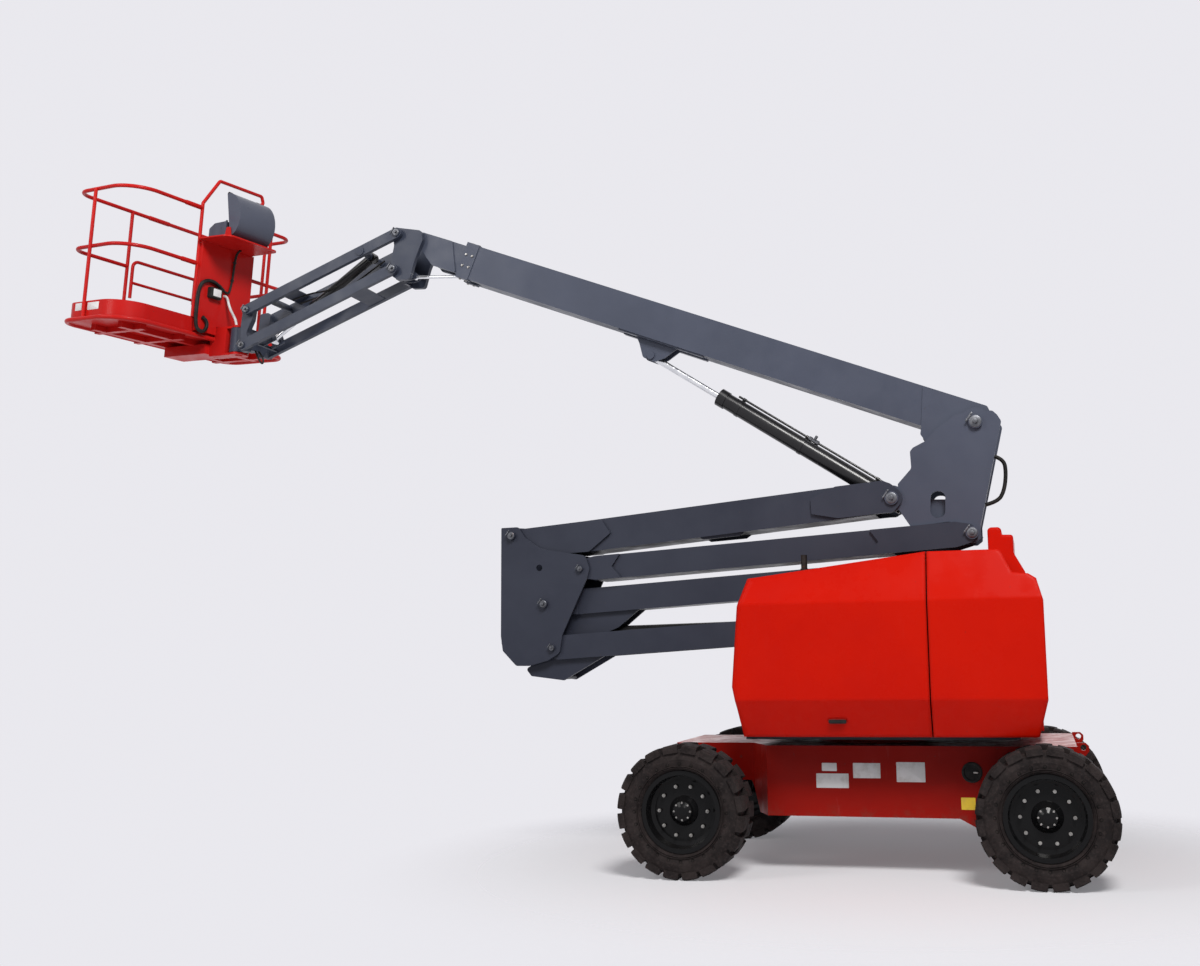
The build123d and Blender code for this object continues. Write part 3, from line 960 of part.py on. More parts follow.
def platform_floor():
    """Platform floor, toe boards, lower ring, floor beams and the rotator bracket."""
    z = PLATFORM_FLOOR
    floor = prism_xy(plan_ring(0), z - 6, z, plan_radii(0))
    toe = prism_xy(plan_ring(0), z - 1, z + TOE_HEIGHT, plan_radii(0))
    toe -= prism_xy(plan_ring(-5), z - 2, z + TOE_HEIGHT + 1, plan_radii(-5))
    ring = ring_tube(FLOOR_RING_OUT, z - 14, FLOOR_RING_RADIUS)
    rim = prism_xy(plan_ring(20), z - 16, z - 5, plan_radii(20))
    mid_x = (NEAR_EDGE + FAR_EDGE) / 2
    beams = block(mid_x + 150, mid_x + 210, NEAR_END + 160, FAR_END - 160, z - 66, z - 5)
    beams += block(mid_x - 210, mid_x - 150, NEAR_END + 160, FAR_END - 160, z - 66, z - 5)
    for y in (-740, -330, 190, 560):
        beams += block(FAR_EDGE + 60, NEAR_EDGE - 60, y - 25, y + 25, z - 66, z - 5)
    back_x = -ROTATOR_RADIUS - 34
    arm_top = ROTATOR_HIGH + 4
    arm_low = ROTATOR_LOW - 4
    carrier = block(FAR_EDGE + 180, NEAR_EDGE - 20, -110, 110, z - 150, z - 60)
    back = block(NEAR_EDGE - 21, back_x, -BRACKET_HALF, BRACKET_HALF, arm_low - ROTATOR_PLATE,
        arm_top + ROTATOR_PLATE)
    arms = block(back_x - 1, 0, -BRACKET_HALF, BRACKET_HALF, arm_top, arm_top + ROTATOR_PLATE)
    arms += drum_z(0, 0, 80, arm_top, arm_top + ROTATOR_PLATE)
    arms += block(back_x - 1, 0, -BRACKET_HALF, BRACKET_HALF, arm_low - ROTATOR_PLATE, arm_low)
    arms += drum_z(0, 0, 80, arm_low - ROTATOR_PLATE, arm_low)
    shaft = drum_z(0, 0, ROTATOR_SHAFT, ROTATOR_LOW - 30, ROTATOR_HIGH + 30)
    return PLATFORM_PLACE * (floor + toe + rim + ring + beams + carrier + back + arms + shaft)


def bend_radii(points):
    """Bend radius at each inner point of a hose: as large as its two runs allow."""
    places = [Vector(*point) for point in points]
    radii = []
    for before, here, after in zip(places, places[1:], places[2:]):
        shorter = min((here - before).length, (after - here).length)
        turn = (here - before).get_angle(after - here)
        radii.append(0.45 * shorter / math.tan(math.radians(turn / 2)))
    return radii


def tube_path(points, radius, bend):
    """Bent round tube through points with one bend radius or one for each bend."""
    wire = Wire(FilletPolyline(*points, radius=bend).edges())
    profile = Plane(origin=wire @ 0, z_dir=wire % 0) * Circle(radius)
    return sweep(profile, path=wire)


def post(x, y, z0, z1, radius=POST_RADIUS):
    """Upright tube."""
    return drum_z(x, y, radius, z0, z1)


def platform_rails():
    """Guard rails: top and mid rings, posts and the hoop over the console."""
    z = PLATFORM_FLOOR
    top_z = z + RAIL_HEIGHT
    mid_z = z + MID_RAIL_HEIGHT
    foot = z + TOE_HEIGHT
    top = ring_tube(0, top_z, RAIL_RADIUS)
    top -= block(NEAR_EDGE - 60, NEAR_EDGE + 60, HOOP_LEFT_Y, HOOP_RIGHT_Y, top_z - 40, top_z + 40)
    mid = ring_tube(0, mid_z, RAIL_RADIUS)
    mid -= block(FAR_EDGE - 60, FAR_EDGE + 60, GATE_LATCH_POST_Y, GATE_HINGE_POST_Y, mid_z - 40, mid_z + 40)
    posts = post(FAR_EDGE, GATE_LATCH_POST_Y, foot, top_z) + post(FAR_EDGE, GATE_HINGE_POST_Y, foot, top_z)
    posts += post((NEAR_EDGE + FAR_EDGE) / 2, FAR_END, foot, top_z)
    posts += post(NEAR_EDGE, 518, foot, top_z)
    posts += post(END_POST_X, NEAR_END - 18, z - 14 + FLOOR_RING_RADIUS + SEAT_PLAY, top_z)
    posts += post(NEAR_EDGE, HOOP_LEFT_Y, foot, top_z) + post(NEAR_EDGE, HOOP_RIGHT_Y, foot, top_z)
    hoop_points = [(HOOP_LEFT_Y, 0), (HOOP_LEFT_Y, 45), (-133, 305), (362, 315), (388, 250),
        (HOOP_RIGHT_Y, 190),
                   (HOOP_RIGHT_Y, 0)]
    hoop = tube_path([(NEAR_EDGE, y, top_z + rise) for y, rise in hoop_points], POST_RADIUS, 24)
    return PLATFORM_PLACE * (top + mid + posts + hoop)


def platform_gate():
    """Entry gate on the inner face of the outer side: bent tube frame hung on its post."""
    z = PLATFORM_FLOOR
    x = FAR_EDGE + GATE_INSET
    hinge_x = FAR_EDGE + RAIL_RADIUS + GATE_HINGE_RADIUS + PIN_PLAY
    hang_y = GATE_HINGE_POST_Y - 50
    latch_y = GATE_LATCH_POST_Y + 30
    top = z + GATE_TOP
    low = z + GATE_LOW_BAR
    frame = tube_path([(x, hang_y, top), (x, latch_y, top), (x, latch_y, z + GATE_FOOT)], 15, 60)
    low_bar = drum_y(x, low, 13.5, latch_y, hang_y)
    upright = post(x, hang_y, low - 40, top + 20, 16)
    leaf = frame + low_bar + upright
    for z0, z1 in ((low - 30, low + 40), (top - 60, top + 10)):
        leaf += drum_z(hinge_x, GATE_HINGE_POST_Y, GATE_HINGE_RADIUS, z0, z1)
        leaf += block(hinge_x - 4, hinge_x + 6, hang_y + 5, GATE_HINGE_POST_Y, z0, z1)
    return PLATFORM_PLACE * leaf


def console_panel():
    """Upright sheet panel on the boom side of the platform, with the console shelf."""
    z = PLATFORM_FLOOR
    foot = z + 25
    under = z + SHELF_HEIGHT - SHELF_SHEET
    face = PANEL_X + PANEL_SHEET
    back = NEAR_EDGE + RAIL_RADIUS + SEAT_PLAY
    panel = block(PANEL_X, face, -PANEL_HALF, PANEL_HALF, foot, under + 1)
    for side in (-PANEL_HALF, PANEL_HALF - PANEL_SHEET):
        panel += block(back, face, side, side + PANEL_SHEET, foot, under + 1)
    panel -= block(back - 5, face + 5, -BRACKET_HALF - SIDE_PLAY, BRACKET_HALF + SIDE_PLAY,
                   foot - 5, ROTATOR_HIGH + 4 + ROTATOR_PLATE + SIDE_PLAY)
    shelf = prism_xy([(-282, -342), (105, -322), (105, 262), (-282, 262)], under, z + SHELF_HEIGHT,
        [20, 90, 60, 20])
    ear = prism_xz([(COVER_PIVOT_X - 50, z + SHELF_HEIGHT - 1), (COVER_PIVOT_X + 50, z + SHELF_HEIGHT - 1),
                    (COVER_PIVOT_X + 22, z + COVER_PIVOT_Z + 22),
                    (COVER_PIVOT_X - 22, z + COVER_PIVOT_Z + 22)],
                   COVER_HALF_LENGTH + SIDE_PLAY, COVER_HALF_LENGTH + SIDE_PLAY + 8, 12)
    pin = drum_y(COVER_PIVOT_X, z + COVER_PIVOT_Z, COVER_PIN_RADIUS, COVER_HALF_LENGTH - 12,
                 COVER_HALF_LENGTH + SIDE_PLAY + 4)
    return PLATFORM_PLACE * (panel + shelf + both_sides(ear + pin))


def control_console():
    """Operator console: low control box with a sloped, stepped top."""
    z = PLATFORM_FLOOR + SHELF_HEIGHT + SEAT_PLAY
    box = prism_xz([(-330, z), (-110, z), (-110, z + 183), (-262, z + 178), (-330, z + 135)],
                   -CONSOLE_HALF, CONSOLE_HALF, [8, 8, 8, 30, 20])
    return PLATFORM_PLACE * box


def half_drum(grow, overrun, half_length):
    """Half drum with an elliptic back about the cover's pivot, lying open toward the boom."""
    lean = math.radians(COVER_LEAN)
    centre = COVER_HALF_FLAT - COVER_PIVOT_IN
    reach = 2 * COVER_HALF_FLAT
    face = Pos(centre, 0) * Ellipse(COVER_HALF_FLAT + grow, COVER_BULGE + grow)
    face -= Pos(centre, -reach / 2 - overrun) * Rectangle(2 * reach, reach)
    solid = extrude(face, amount=2 * half_length)
    seat = Plane(origin=(COVER_PIVOT_X, -half_length, PLATFORM_FLOOR + COVER_PIVOT_Z),
                 x_dir=(-math.sin(lean), 0, math.cos(lean)), z_dir=(0, 1, 0))
    return seat.location * solid


def console_cover():
    """Hollow half-drum cover of the console, swung over toward the boom."""
    shell = half_drum(0.0, 0.0, COVER_HALF_LENGTH)
    shell -= half_drum(-COVER_SKIN, COVER_SKIN, COVER_HALF_LENGTH - COVER_SKIN)
    shell -= drum_y(COVER_PIVOT_X, PLATFORM_FLOOR + COVER_PIVOT_Z, COVER_PIN_RADIUS + PIN_PLAY,
                    -COVER_HALF_LENGTH - 5, COVER_HALF_LENGTH + 5)
    return PLATFORM_PLACE * shell


def knuckle_hose():
    """Hose bundle looped out behind the upper knuckle."""
    return tube_path(KNUCKLE_ROUTE, KNUCKLE_HOSE_RADIUS, bend_radii(KNUCKLE_ROUTE))


def platform_hose():
    """Sleeved hose hanging from the console panel to the rotator bracket."""
    return PLATFORM_PLACE * tube_path(PLATFORM_ROUTE, PLATFORM_HOSE_RADIUS, bend_radii(PLATFORM_ROUTE))


FRONT_LEFT = Pos(-WHEEL_X, -WHEEL_Y, TYRE_RADIUS)
FRONT_RIGHT = Pos(-WHEEL_X, WHEEL_Y, TYRE_RADIUS)
REAR_LEFT = Pos(WHEEL_X, -WHEEL_Y, TYRE_RADIUS)
REAR_RIGHT = Pos(WHEEL_X, WHEEL_Y, TYRE_RADIUS)


def build_nodes():
    """All nodes in the slew-axis layout."""
    tyre = lug_tyre()
    rim = wheel_rim()
    flip = Rot(0, 0, 180)
    nodes = {
        "chassis_frame": chassis_frame(),
        "front_axle": front_axle(),
        "rear_axle": rear_axle(),
        "steering_knuckle_left": steering_knuckle(),
        "steering_knuckle_right": mirror(steering_knuckle(), about=Plane.XZ),
        "steering_rod": steering_rod(),
        "tyre_front_left": FRONT_LEFT * tyre,
        "tyre_front_right": FRONT_RIGHT * flip * tyre,
        "tyre_rear_left": REAR_LEFT * tyre,
        "tyre_rear_right": REAR_RIGHT * flip * tyre,
        "rim_front_left": FRONT_LEFT * rim,
        "rim_front_right": FRONT_RIGHT * flip * rim,
        "rim_rear_left": REAR_LEFT * rim,
        "rim_rear_right": REAR_RIGHT * flip * rim,
        "turntable_frame": turntable_frame(),
        "counterweight": counterweight(),
        "tower_cover": tower_cover(),
        "hood_left": hood(),
        "hood_right": mirror(hood(), about=Plane.XZ),
        "engine_block": engine_block(),
        "lower_arm": lower_arm(),
        "lower_link": lower_link(),
        "mid_knuckle": mid_knuckle(),
        "upper_arm": upper_arm(),
        "upper_link": upper_link(),
        "upper_knuckle": upper_knuckle(),
        "tower_cylinder_barrel": bored_barrel(TOWER_CYL_BASE, TOWER_CYL_EYE, TOWER_CYL_RADIUS, 2480.0,
            50.0, 30.0, 58.0,
                                              TOWER_ROD_RADIUS, 1100.0),
        "tower_cylinder_rod": cylinder_rod(TOWER_CYL_BASE, TOWER_CYL_EYE, TOWER_ROD_RADIUS, 1900.0, 48.0,
            58.0),
        "main_boom": main_boom(),
        "fly_boom": fly_boom(),
        "lift_cylinder_barrel": bored_barrel(LIFT_BASE, LIFT_EYE, LIFT_RADIUS, LIFT_BARREL, 58.0, 28.0,
            LIFT_RADIUS,
                                             LIFT_ROD_RADIUS, 150.0),
        "lift_cylinder_rod": cylinder_rod(LIFT_BASE, LIFT_EYE, LIFT_ROD_RADIUS, 650.0, 30.0,
            EYE_HALF_WIDTH),
        "level_cylinder_barrel": bored_barrel(LEVEL_BASE, LEVEL_LUG, LEVEL_RADIUS, LEVEL_BARREL, 30.0,
            14.0, 30.0,
                                              LEVEL_ROD_RADIUS, 60.0),
        "level_cylinder_rod": cylinder_rod(LEVEL_BASE, LEVEL_LUG, LEVEL_ROD_RADIUS, 325.0, 22.0, 24.0),
        "jib_knuckle": jib_knuckle(),
        "jib_upper_arm": jib_upper_arm(),
        "jib_lower_arm": jib_lower_arm(),
        "jib_end": jib_end(),
        "jib_cylinder_barrel": bored_barrel(JIB_CYL_BASE, JIB_CYL_EYE, JIB_CYL_RADIUS, JIB_BARREL, 46.0,
            24.0, EYE_HALF_WIDTH,
                                            JIB_ROD_RADIUS, 70.0),
        "jib_cylinder_rod": cylinder_rod(JIB_CYL_BASE, JIB_CYL_EYE, JIB_ROD_RADIUS, 480.0, 30.0,
            JIB_EYE_HALF),
        "platform_floor": platform_floor(),
        "platform_rails": platform_rails(),
        "platform_gate": platform_gate(),
        "console_panel": console_panel(),
        "control_console": control_console(),
        "console_cover": console_cover(),
        "knuckle_hose": knuckle_hose(),
        "platform_hose": platform_hose(),
    }
    return nodes


def overall_box(nodes):
    """Bounding box limits of all nodes together."""
    boxes = [shape.bounding_box() for shape in nodes.values()]
    low = [min(getattr(b.min, axis) for b in boxes) for axis in ("X", "Y", "Z")]
    high = [max(getattr(b.max, axis) for b in boxes) for axis in ("X", "Y", "Z")]
    return low, high


NODES = build_nodes()
LOW, HIGH = overall_box(NODES)
SHIFT = (-(LOW[0] + HIGH[0]) / 2, -(LOW[1] + HIGH[1]) / 2, -LOW[2])

os.makedirs("parts", exist_ok=True)
for name, shape in NODES.items():
    export_step(Pos(*SHIFT) * shape, f"parts/{name}.step")
print("knuckle hose bend radii", [round(r) for r in bend_radii(KNUCKLE_ROUTE)])
print("platform hose bend radii", [round(r) for r in bend_radii(PLATFORM_ROUTE)])
print("shift", SHIFT)
print("size", [h - l for l, h in zip(LOW, HIGH)])
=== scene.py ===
import bpy
import bmesh
import math
from mathutils import Matrix, Vector


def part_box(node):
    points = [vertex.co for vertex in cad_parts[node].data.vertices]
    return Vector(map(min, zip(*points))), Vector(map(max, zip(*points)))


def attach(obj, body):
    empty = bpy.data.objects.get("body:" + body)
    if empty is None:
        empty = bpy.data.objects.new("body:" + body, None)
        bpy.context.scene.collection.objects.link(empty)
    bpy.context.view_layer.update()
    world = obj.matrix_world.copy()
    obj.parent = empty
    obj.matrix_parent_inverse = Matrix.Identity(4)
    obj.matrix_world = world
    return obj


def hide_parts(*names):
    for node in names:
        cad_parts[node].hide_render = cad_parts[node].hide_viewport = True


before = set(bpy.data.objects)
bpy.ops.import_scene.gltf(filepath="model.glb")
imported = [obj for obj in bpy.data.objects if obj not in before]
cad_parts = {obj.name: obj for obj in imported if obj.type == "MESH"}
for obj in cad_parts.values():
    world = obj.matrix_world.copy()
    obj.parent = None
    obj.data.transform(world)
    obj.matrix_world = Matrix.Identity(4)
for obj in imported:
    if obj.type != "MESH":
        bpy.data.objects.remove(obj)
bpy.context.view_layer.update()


# The studio: the camera stands low beside the rear wheel and looks a little
# up at the machine, a broad soft lamp lights it from the right and a weaker
# one from the left, and a pale sky stands behind it.
camera_data = bpy.data.cameras.new("camera")
camera_data.sensor_width = 36.0
camera_data.lens = 39.13
camera_data.shift_x = -0.0681
camera_data.shift_y = -0.0112
camera_data.clip_end = 200.0
camera = bpy.data.objects.new("camera", camera_data)
bpy.context.collection.objects.link(camera)


def centre(node):
    """The middle of a CAD node's box."""
    low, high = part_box(node)
    return (Vector(low) + Vector(high)) / 2


slew_x = (centre("tyre_front_left").x + centre("tyre_rear_left").x) / 2


def at(x, y, z):
    """A place measured in millimetres from the slewing axis on the ground."""
    return Vector((slew_x + x / 1000, y / 1000, z / 1000))


camera.location = at(1208.0, -10096.0, 1571.0)
camera.rotation_euler = (math.radians(97.863), math.radians(0.847), math.radians(15.065))
bpy.context.scene.camera = camera
bpy.context.scene.view_settings.view_transform = "Standard"


def lamp(name, place, target, size, power):
    """A round area lamp that faces its target; size in metres, power in watts."""
    data = bpy.data.lights.new(name, "AREA")
    data.shape = "DISK"
    data.size = size
    data.energy = power
    data.color = (1.0, 0.985, 0.96)
    obj = bpy.data.objects.new(name, data)
    bpy.context.collection.objects.link(obj)
    obj.location = place
    obj.rotation_euler = (target - place).to_track_quat("-Z", "Y").to_euler()


lamp("key_lamp", at(3500, -9500, 12500), at(-1500, 0, 2600), 5.0, 2100.0)
lamp("fill_lamp", at(-9500, -9500, 9000), at(-1500, 0, 3000), 6.0, 420.0)


def add(tree, kind, **values):
    """A new node in a tree with its plain settings and socket values."""
    node = tree.nodes.new(kind)
    for key, value in values.items():
        if key in node.inputs:
            node.inputs[key].default_value = value
        else:
            setattr(node, key, value)
    return node


def seen_by_eye(tree):
    """One for rays from the camera, from mirrors and through glass, else nought."""
    path = add(tree, "ShaderNodeLightPath")
    total = add(tree, "ShaderNodeMath", operation="ADD")
    tree.links.new(path.outputs["Is Camera Ray"], total.inputs[0])
    tree.links.new(path.outputs["Is Glossy Ray"], total.inputs[1])
    whole = add(tree, "ShaderNodeMath", operation="ADD", use_clamp=True)
    tree.links.new(total.outputs[0], whole.inputs[0])
    tree.links.new(path.outputs["Is Transmission Ray"], whole.inputs[1])
    return whole.outputs[0]


BACKDROP_COLOUR = (0.819, 0.812, 0.855, 1.0)
SKY_FOOT_COLOUR = (0.10, 0.10, 0.11, 1.0)
SKY_TOP_COLOUR = (0.97, 0.98, 1.0, 1.0)
SKY_FOOT = -0.35
SKY_TOP = 0.75
# The colour sockets of a mix node, which share their names with others.
MIX_FIRST = 6
MIX_SECOND = 7
MIX_RESULT = 2
world = bpy.data.worlds.new("studio")
bpy.context.scene.world = world
world.use_nodes = True
sky = world.node_tree
sky.nodes.clear()
light_sky = add(sky, "ShaderNodeBackground", Strength=0.72)
way_up = add(sky, "ShaderNodeSeparateXYZ")
sky_grade = add(sky, "ShaderNodeMapRange", interpolation_type="SMOOTHSTEP")
sky_grade.inputs["From Min"].default_value = SKY_FOOT
sky_grade.inputs["From Max"].default_value = SKY_TOP
sky_tint = add(sky, "ShaderNodeMix", data_type="RGBA")
sky_tint.inputs[MIX_FIRST].default_value = SKY_FOOT_COLOUR
sky_tint.inputs[MIX_SECOND].default_value = SKY_TOP_COLOUR
sky.links.new(add(sky, "ShaderNodeNewGeometry").outputs["Normal"], way_up.inputs[0])
sky.links.new(way_up.outputs["Z"], sky_grade.inputs["Value"])
sky.links.new(sky_grade.outputs["Result"], sky_tint.inputs[0])
sky.links.new(sky_tint.outputs[MIX_RESULT], light_sky.inputs["Color"])
shown_sky = add(sky, "ShaderNodeBackground", Color=BACKDROP_COLOUR, Strength=1.0)
sky_mix = add(sky, "ShaderNodeMixShader")
sky_out = add(sky, "ShaderNodeOutputWorld")
sky.links.new(seen_by_eye(sky), sky_mix.inputs[0])
sky.links.new(light_sky.outputs[0], sky_mix.inputs[1])
sky.links.new(shown_sky.outputs[0], sky_mix.inputs[2])
sky.links.new(sky_mix.outputs[0], sky_out.inputs[0])


# The studio floor: a wide pale disc, mostly solid under the machine and clear
# from four metres out, where the sky behind it takes its place.
FLOOR_RADIUS = 24.0
FADE_FROM = 1.5
FADE_TO = 4.0
CLEAR_NEAR = 0.2
floor_mesh = bpy.data.meshes.new("studio_floor")
floor_bm = bmesh.new()
bmesh.ops.create_circle(floor_bm, cap_ends=True, segments=96, radius=FLOOR_RADIUS)
bmesh.ops.translate(floor_bm, verts=floor_bm.verts, vec=at(0, 0, 0))
floor_bm.to_mesh(floor_mesh)
floor_bm.free()
floor = bpy.data.objects.new("studio_floor", floor_mesh)
bpy.context.collection.objects.link(floor)
floor_paint = bpy.data.materials.new("studio_floor")
floor_paint.use_nodes = True
ground = floor_paint.node_tree
ground_shader = ground.nodes["Principled BSDF"]
ground_shader.inputs["Base Color"].default_value = (0.80, 0.795, 0.83, 1.0)
ground_shader.inputs["Roughness"].default_value = 0.95
ground_shader.inputs["Specular IOR Level"].default_value = 0.1
clear = add(ground, "ShaderNodeBsdfTransparent")
ground_mix = add(ground, "ShaderNodeMixShader")
ground_place = add(ground, "ShaderNodeTexCoord")
reach = add(ground, "ShaderNodeVectorMath", operation="DISTANCE")
reach.inputs[1].default_value = at(0, 0, 0)
fade = add(ground, "ShaderNodeMapRange", interpolation_type="SMOOTHSTEP")
fade.inputs["From Min"].default_value = FADE_FROM
fade.inputs["From Max"].default_value = FADE_TO
fade.inputs["To Min"].default_value = CLEAR_NEAR
ground.links.new(ground_place.outputs["Object"], reach.inputs[0])
ground.links.new(reach.outputs["Value"], fade.inputs["Value"])
ground.links.new(fade.outputs["Result"], ground_mix.inputs[0])
ground.links.new(ground_shader.outputs[0], ground_mix.inputs[1])
ground.links.new(clear.outputs[0], ground_mix.inputs[2])
ground.links.new(ground_mix.outputs[0], ground.nodes["Material Output"].inputs["Surface"])
floor_mesh.materials.append(floor_paint)


# The chassis frame is folded and welded plate in dark red gloss paint. Its
# top faces are painted pale pink as a painted reflection of the sky, with some road dust in it; its foot is
# browner, and stones have chipped it.
def feed(tree, socket, value):
    """Joins a socket to another one, or sets it where the value is a plain one."""
    if hasattr(value, "links"):
        tree.links.new(value, socket)
    else:
        socket.default_value = value


def colour_mix(tree, factor, first, second):
    """The colour between two, each a colour or a socket."""
    node = add(tree, "ShaderNodeMix", data_type="RGBA", clamp_factor=True)
    feed(tree, node.inputs[0], factor)
    feed(tree, node.inputs[MIX_FIRST], first)
    feed(tree, node.inputs[MIX_SECOND], second)
    return node.outputs[MIX_RESULT]


def band(tree, value, low, high, first=0.0, last=1.0):
    """The value spread from one range to another and held at its ends."""
    node = add(tree, "ShaderNodeMapRange", interpolation_type="SMOOTHSTEP")
    tree.links.new(value, node.inputs["Value"])
    for key, amount in (("From Min", low), ("From Max", high), ("To Min", first), ("To Max", last)):
        node.inputs[key].default_value = amount
    return node.outputs["Result"]


def product(tree, first, second):
    """Two values multiplied, each a number or a socket, held between nought and one."""
    node = add(tree, "ShaderNodeMath", operation="MULTIPLY", use_clamp=True)
    feed(tree, node.inputs[0], first)
    feed(tree, node.inputs[1], second)
    return node.outputs[0]


def cloud(tree, where, scale, detail=4.0, stretch=(1.0, 1.0, 1.0)):
    """Soft noise on the piece's own coordinates."""
    mapping = add(tree, "ShaderNodeMapping")
    mapping.inputs["Scale"].default_value = stretch
    noise = add(tree, "ShaderNodeTexNoise", Scale=scale, Detail=detail, Roughness=0.6)
    tree.links.new(where, mapping.inputs["Vector"])
    tree.links.new(mapping.outputs[0], noise.inputs["Vector"])
    return noise.outputs["Fac"]


def finish_bump(tree, shader, height, strength, depth):
    """A fine bump on a shader's surface."""
    bump = add(tree, "ShaderNodeBump", Strength=strength, Distance=depth)
    tree.links.new(height, bump.inputs["Height"])
    tree.links.new(bump.outputs[0], shader.inputs["Normal"])
    return bump


def bare_material(name):
    """A new material with its tree, its shader and the piece's own coordinates."""
    made = bpy.data.materials.new(name)
    made.use_nodes = True
    tree = made.node_tree
    where = add(tree, "ShaderNodeTexCoord").outputs["Object"]
    return made, tree, tree.nodes["Principled BSDF"], where


SPLASH_BROWN = (0.10, 0.05, 0.035, 1.0)
PRIMER_DARK = (0.05, 0.045, 0.043, 1.0)


def paint(name, main, shade, dust_and_sheen, dust_and_sheen_amount=0.3, gloss=0.32, chips=0.0, low=None, coat=0.0,
          mirror=0.2, round_edge=0.0):
    """Sprayed paint: drifting tone, a paler colour on upper faces, streaks, and chips to dark primer. The
    paler colour is road dust, and on the red chassis and hoods it is a painted reflection of the sky.

    low gives the heights in metres between which brown splashes thin out, and
    round_edge the radius in metres by which the edges look eased.
    """
    made, tree, shader, where = bare_material(name)
    tone = colour_mix(tree, band(tree, cloud(tree, where, 1.1), 0.3, 0.7), (*shade, 1.0), (*main, 1.0))
    facing = add(tree, "ShaderNodeSeparateXYZ")
    tree.links.new(add(tree, "ShaderNodeNewGeometry").outputs["Normal"], facing.inputs[0])
    # Upper faces are mixed towards the dust colour: real dust, and where that colour is a pale red, a painted
    # reflection of the sky.
    upward = band(tree, facing.outputs["Z"], 0.55, 0.98)
    speckle = band(tree, cloud(tree, where, 9.0, 8.0), 0.38, 0.66, 0.25, 1.0)
    tone = colour_mix(tree, product(tree, product(tree, upward, speckle), dust_and_sheen_amount), tone, (*dust_and_sheen, 1.0))
    streak = band(tree, cloud(tree, where, 6.0, 6.0, (3.0, 3.0, 0.35)), 0.62, 0.85, 0.0, dust_and_sheen_amount * 0.12)
    tone = colour_mix(tree, streak, tone, (*dust_and_sheen, 1.0))
    if low:
        height = add(tree, "ShaderNodeSeparateXYZ")
        tree.links.new(where, height.inputs[0])
        foot = product(tree, band(tree, height.outputs["Z"], low[0], low[1], 1.0, 0.0),
                       band(tree, cloud(tree, where, 14.0, 8.0), 0.45, 0.7, 0.0, 0.35))
        tone = colour_mix(tree, foot, tone, SPLASH_BROWN)
    nick = band(tree, cloud(tree, where, 34.0, 2.0), 0.735 - chips * 0.06, 0.76 - chips * 0.06)
    tone = colour_mix(tree, product(tree, nick, min(1.0, 0.25 + chips)), tone, PRIMER_DARK)
    tree.links.new(tone, shader.inputs["Base Color"])
    rough = band(tree, cloud(tree, where, 5.0, 7.0), 0.3, 0.7, gloss - 0.06, gloss + 0.16)
    tree.links.new(rough, shader.inputs["Roughness"])
    shader.inputs["Specular IOR Level"].default_value = mirror
    shader.inputs["Coat Weight"].default_value = coat
    shader.inputs["Coat Roughness"].default_value = 0.10
    skin = finish_bump(tree, shader, cloud(tree, where, 140.0, 2.0), 0.06, 0.002)
    if round_edge:
        eased = add(tree, "ShaderNodeBevel", samples=6)
        eased.inputs["Radius"].default_value = round_edge
        tree.links.new(eased.outputs[0], skin.inputs["Normal"])
    return made


def dress(material, *names):
    """Gives CAD nodes a material in place of their plain one."""
    for node in names:
        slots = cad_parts[node].data.materials
        slots.clear()
        slots.append(material)


# The pale pink on the upper faces is a painted reflection of the sky, with road dust speckled in.
chassis_paint = paint("chassis_paint", (0.31, 0.008, 0.004), (0.26, 0.006, 0.004), (0.80, 0.66, 0.66),
                      dust_and_sheen_amount=0.95, gloss=0.36, chips=0.2, low=(0.38, 0.52), mirror=0.10)
dress(chassis_paint, "chassis_frame")


# Blank label plates: thin white or yellow vinyl with rounded corners, stuck
# on the frame's side plates. They stay bare.
def sheet_finish(name, main, shade, rough=0.42):
    """Smooth plastic or vinyl, a little soiled."""
    made, tree, shader, where = bare_material(name)
    soil = band(tree, cloud(tree, where, 11.0, 8.0), 0.42, 0.75)
    tree.links.new(colour_mix(tree, soil, (*main, 1.0), (*shade, 1.0)), shader.inputs["Base Color"])
    tree.links.new(band(tree, cloud(tree, where, 30.0), 0.3, 0.7, rough - 0.08, rough + 0.15),
                   shader.inputs["Roughness"])
    finish_bump(tree, shader, cloud(tree, where, 300.0, 2.0), 0.05, 0.001)
    return made


def finish_piece(name, bm, material, body, crease=35.0):
    """Turns a bmesh into a shown piece that rides on a body."""
    bmesh.ops.recalc_face_normals(bm, faces=bm.faces)
    mesh = bpy.data.meshes.new(name)
    bm.to_mesh(mesh)
    bm.free()
    mesh.shade_smooth()
    mesh.set_sharp_from_angle(angle=math.radians(crease))
    mesh.materials.append(material)
    obj = bpy.data.objects.new(name, mesh)
    bpy.context.collection.objects.link(obj)
    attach(obj, body)


TINY = 1e-6


def stand(origin, out, along=(0.0, 0.0, 1.0)):
    """A placing matrix whose Z leaves the surface and whose X lies along it."""
    z = Vector(out).normalized()
    x = Vector(along) - z * Vector(along).dot(z)
    if x.length < TINY:
        x = z.orthogonal()
    x.normalize()
    y = z.cross(x)
    turn = Matrix((x, y, z)).transposed().to_4x4()
    return Matrix.Translation(Vector(origin)) @ turn


def merged(bm, part, place):
    """Moves a part, built round its own origin, into its place on a piece."""
    bmesh.ops.transform(part, matrix=place, verts=part.verts)
    mesh = bpy.data.meshes.new("part")
    part.to_mesh(mesh)
    part.free()
    bm.from_mesh(mesh)
    bpy.data.meshes.remove(mesh)


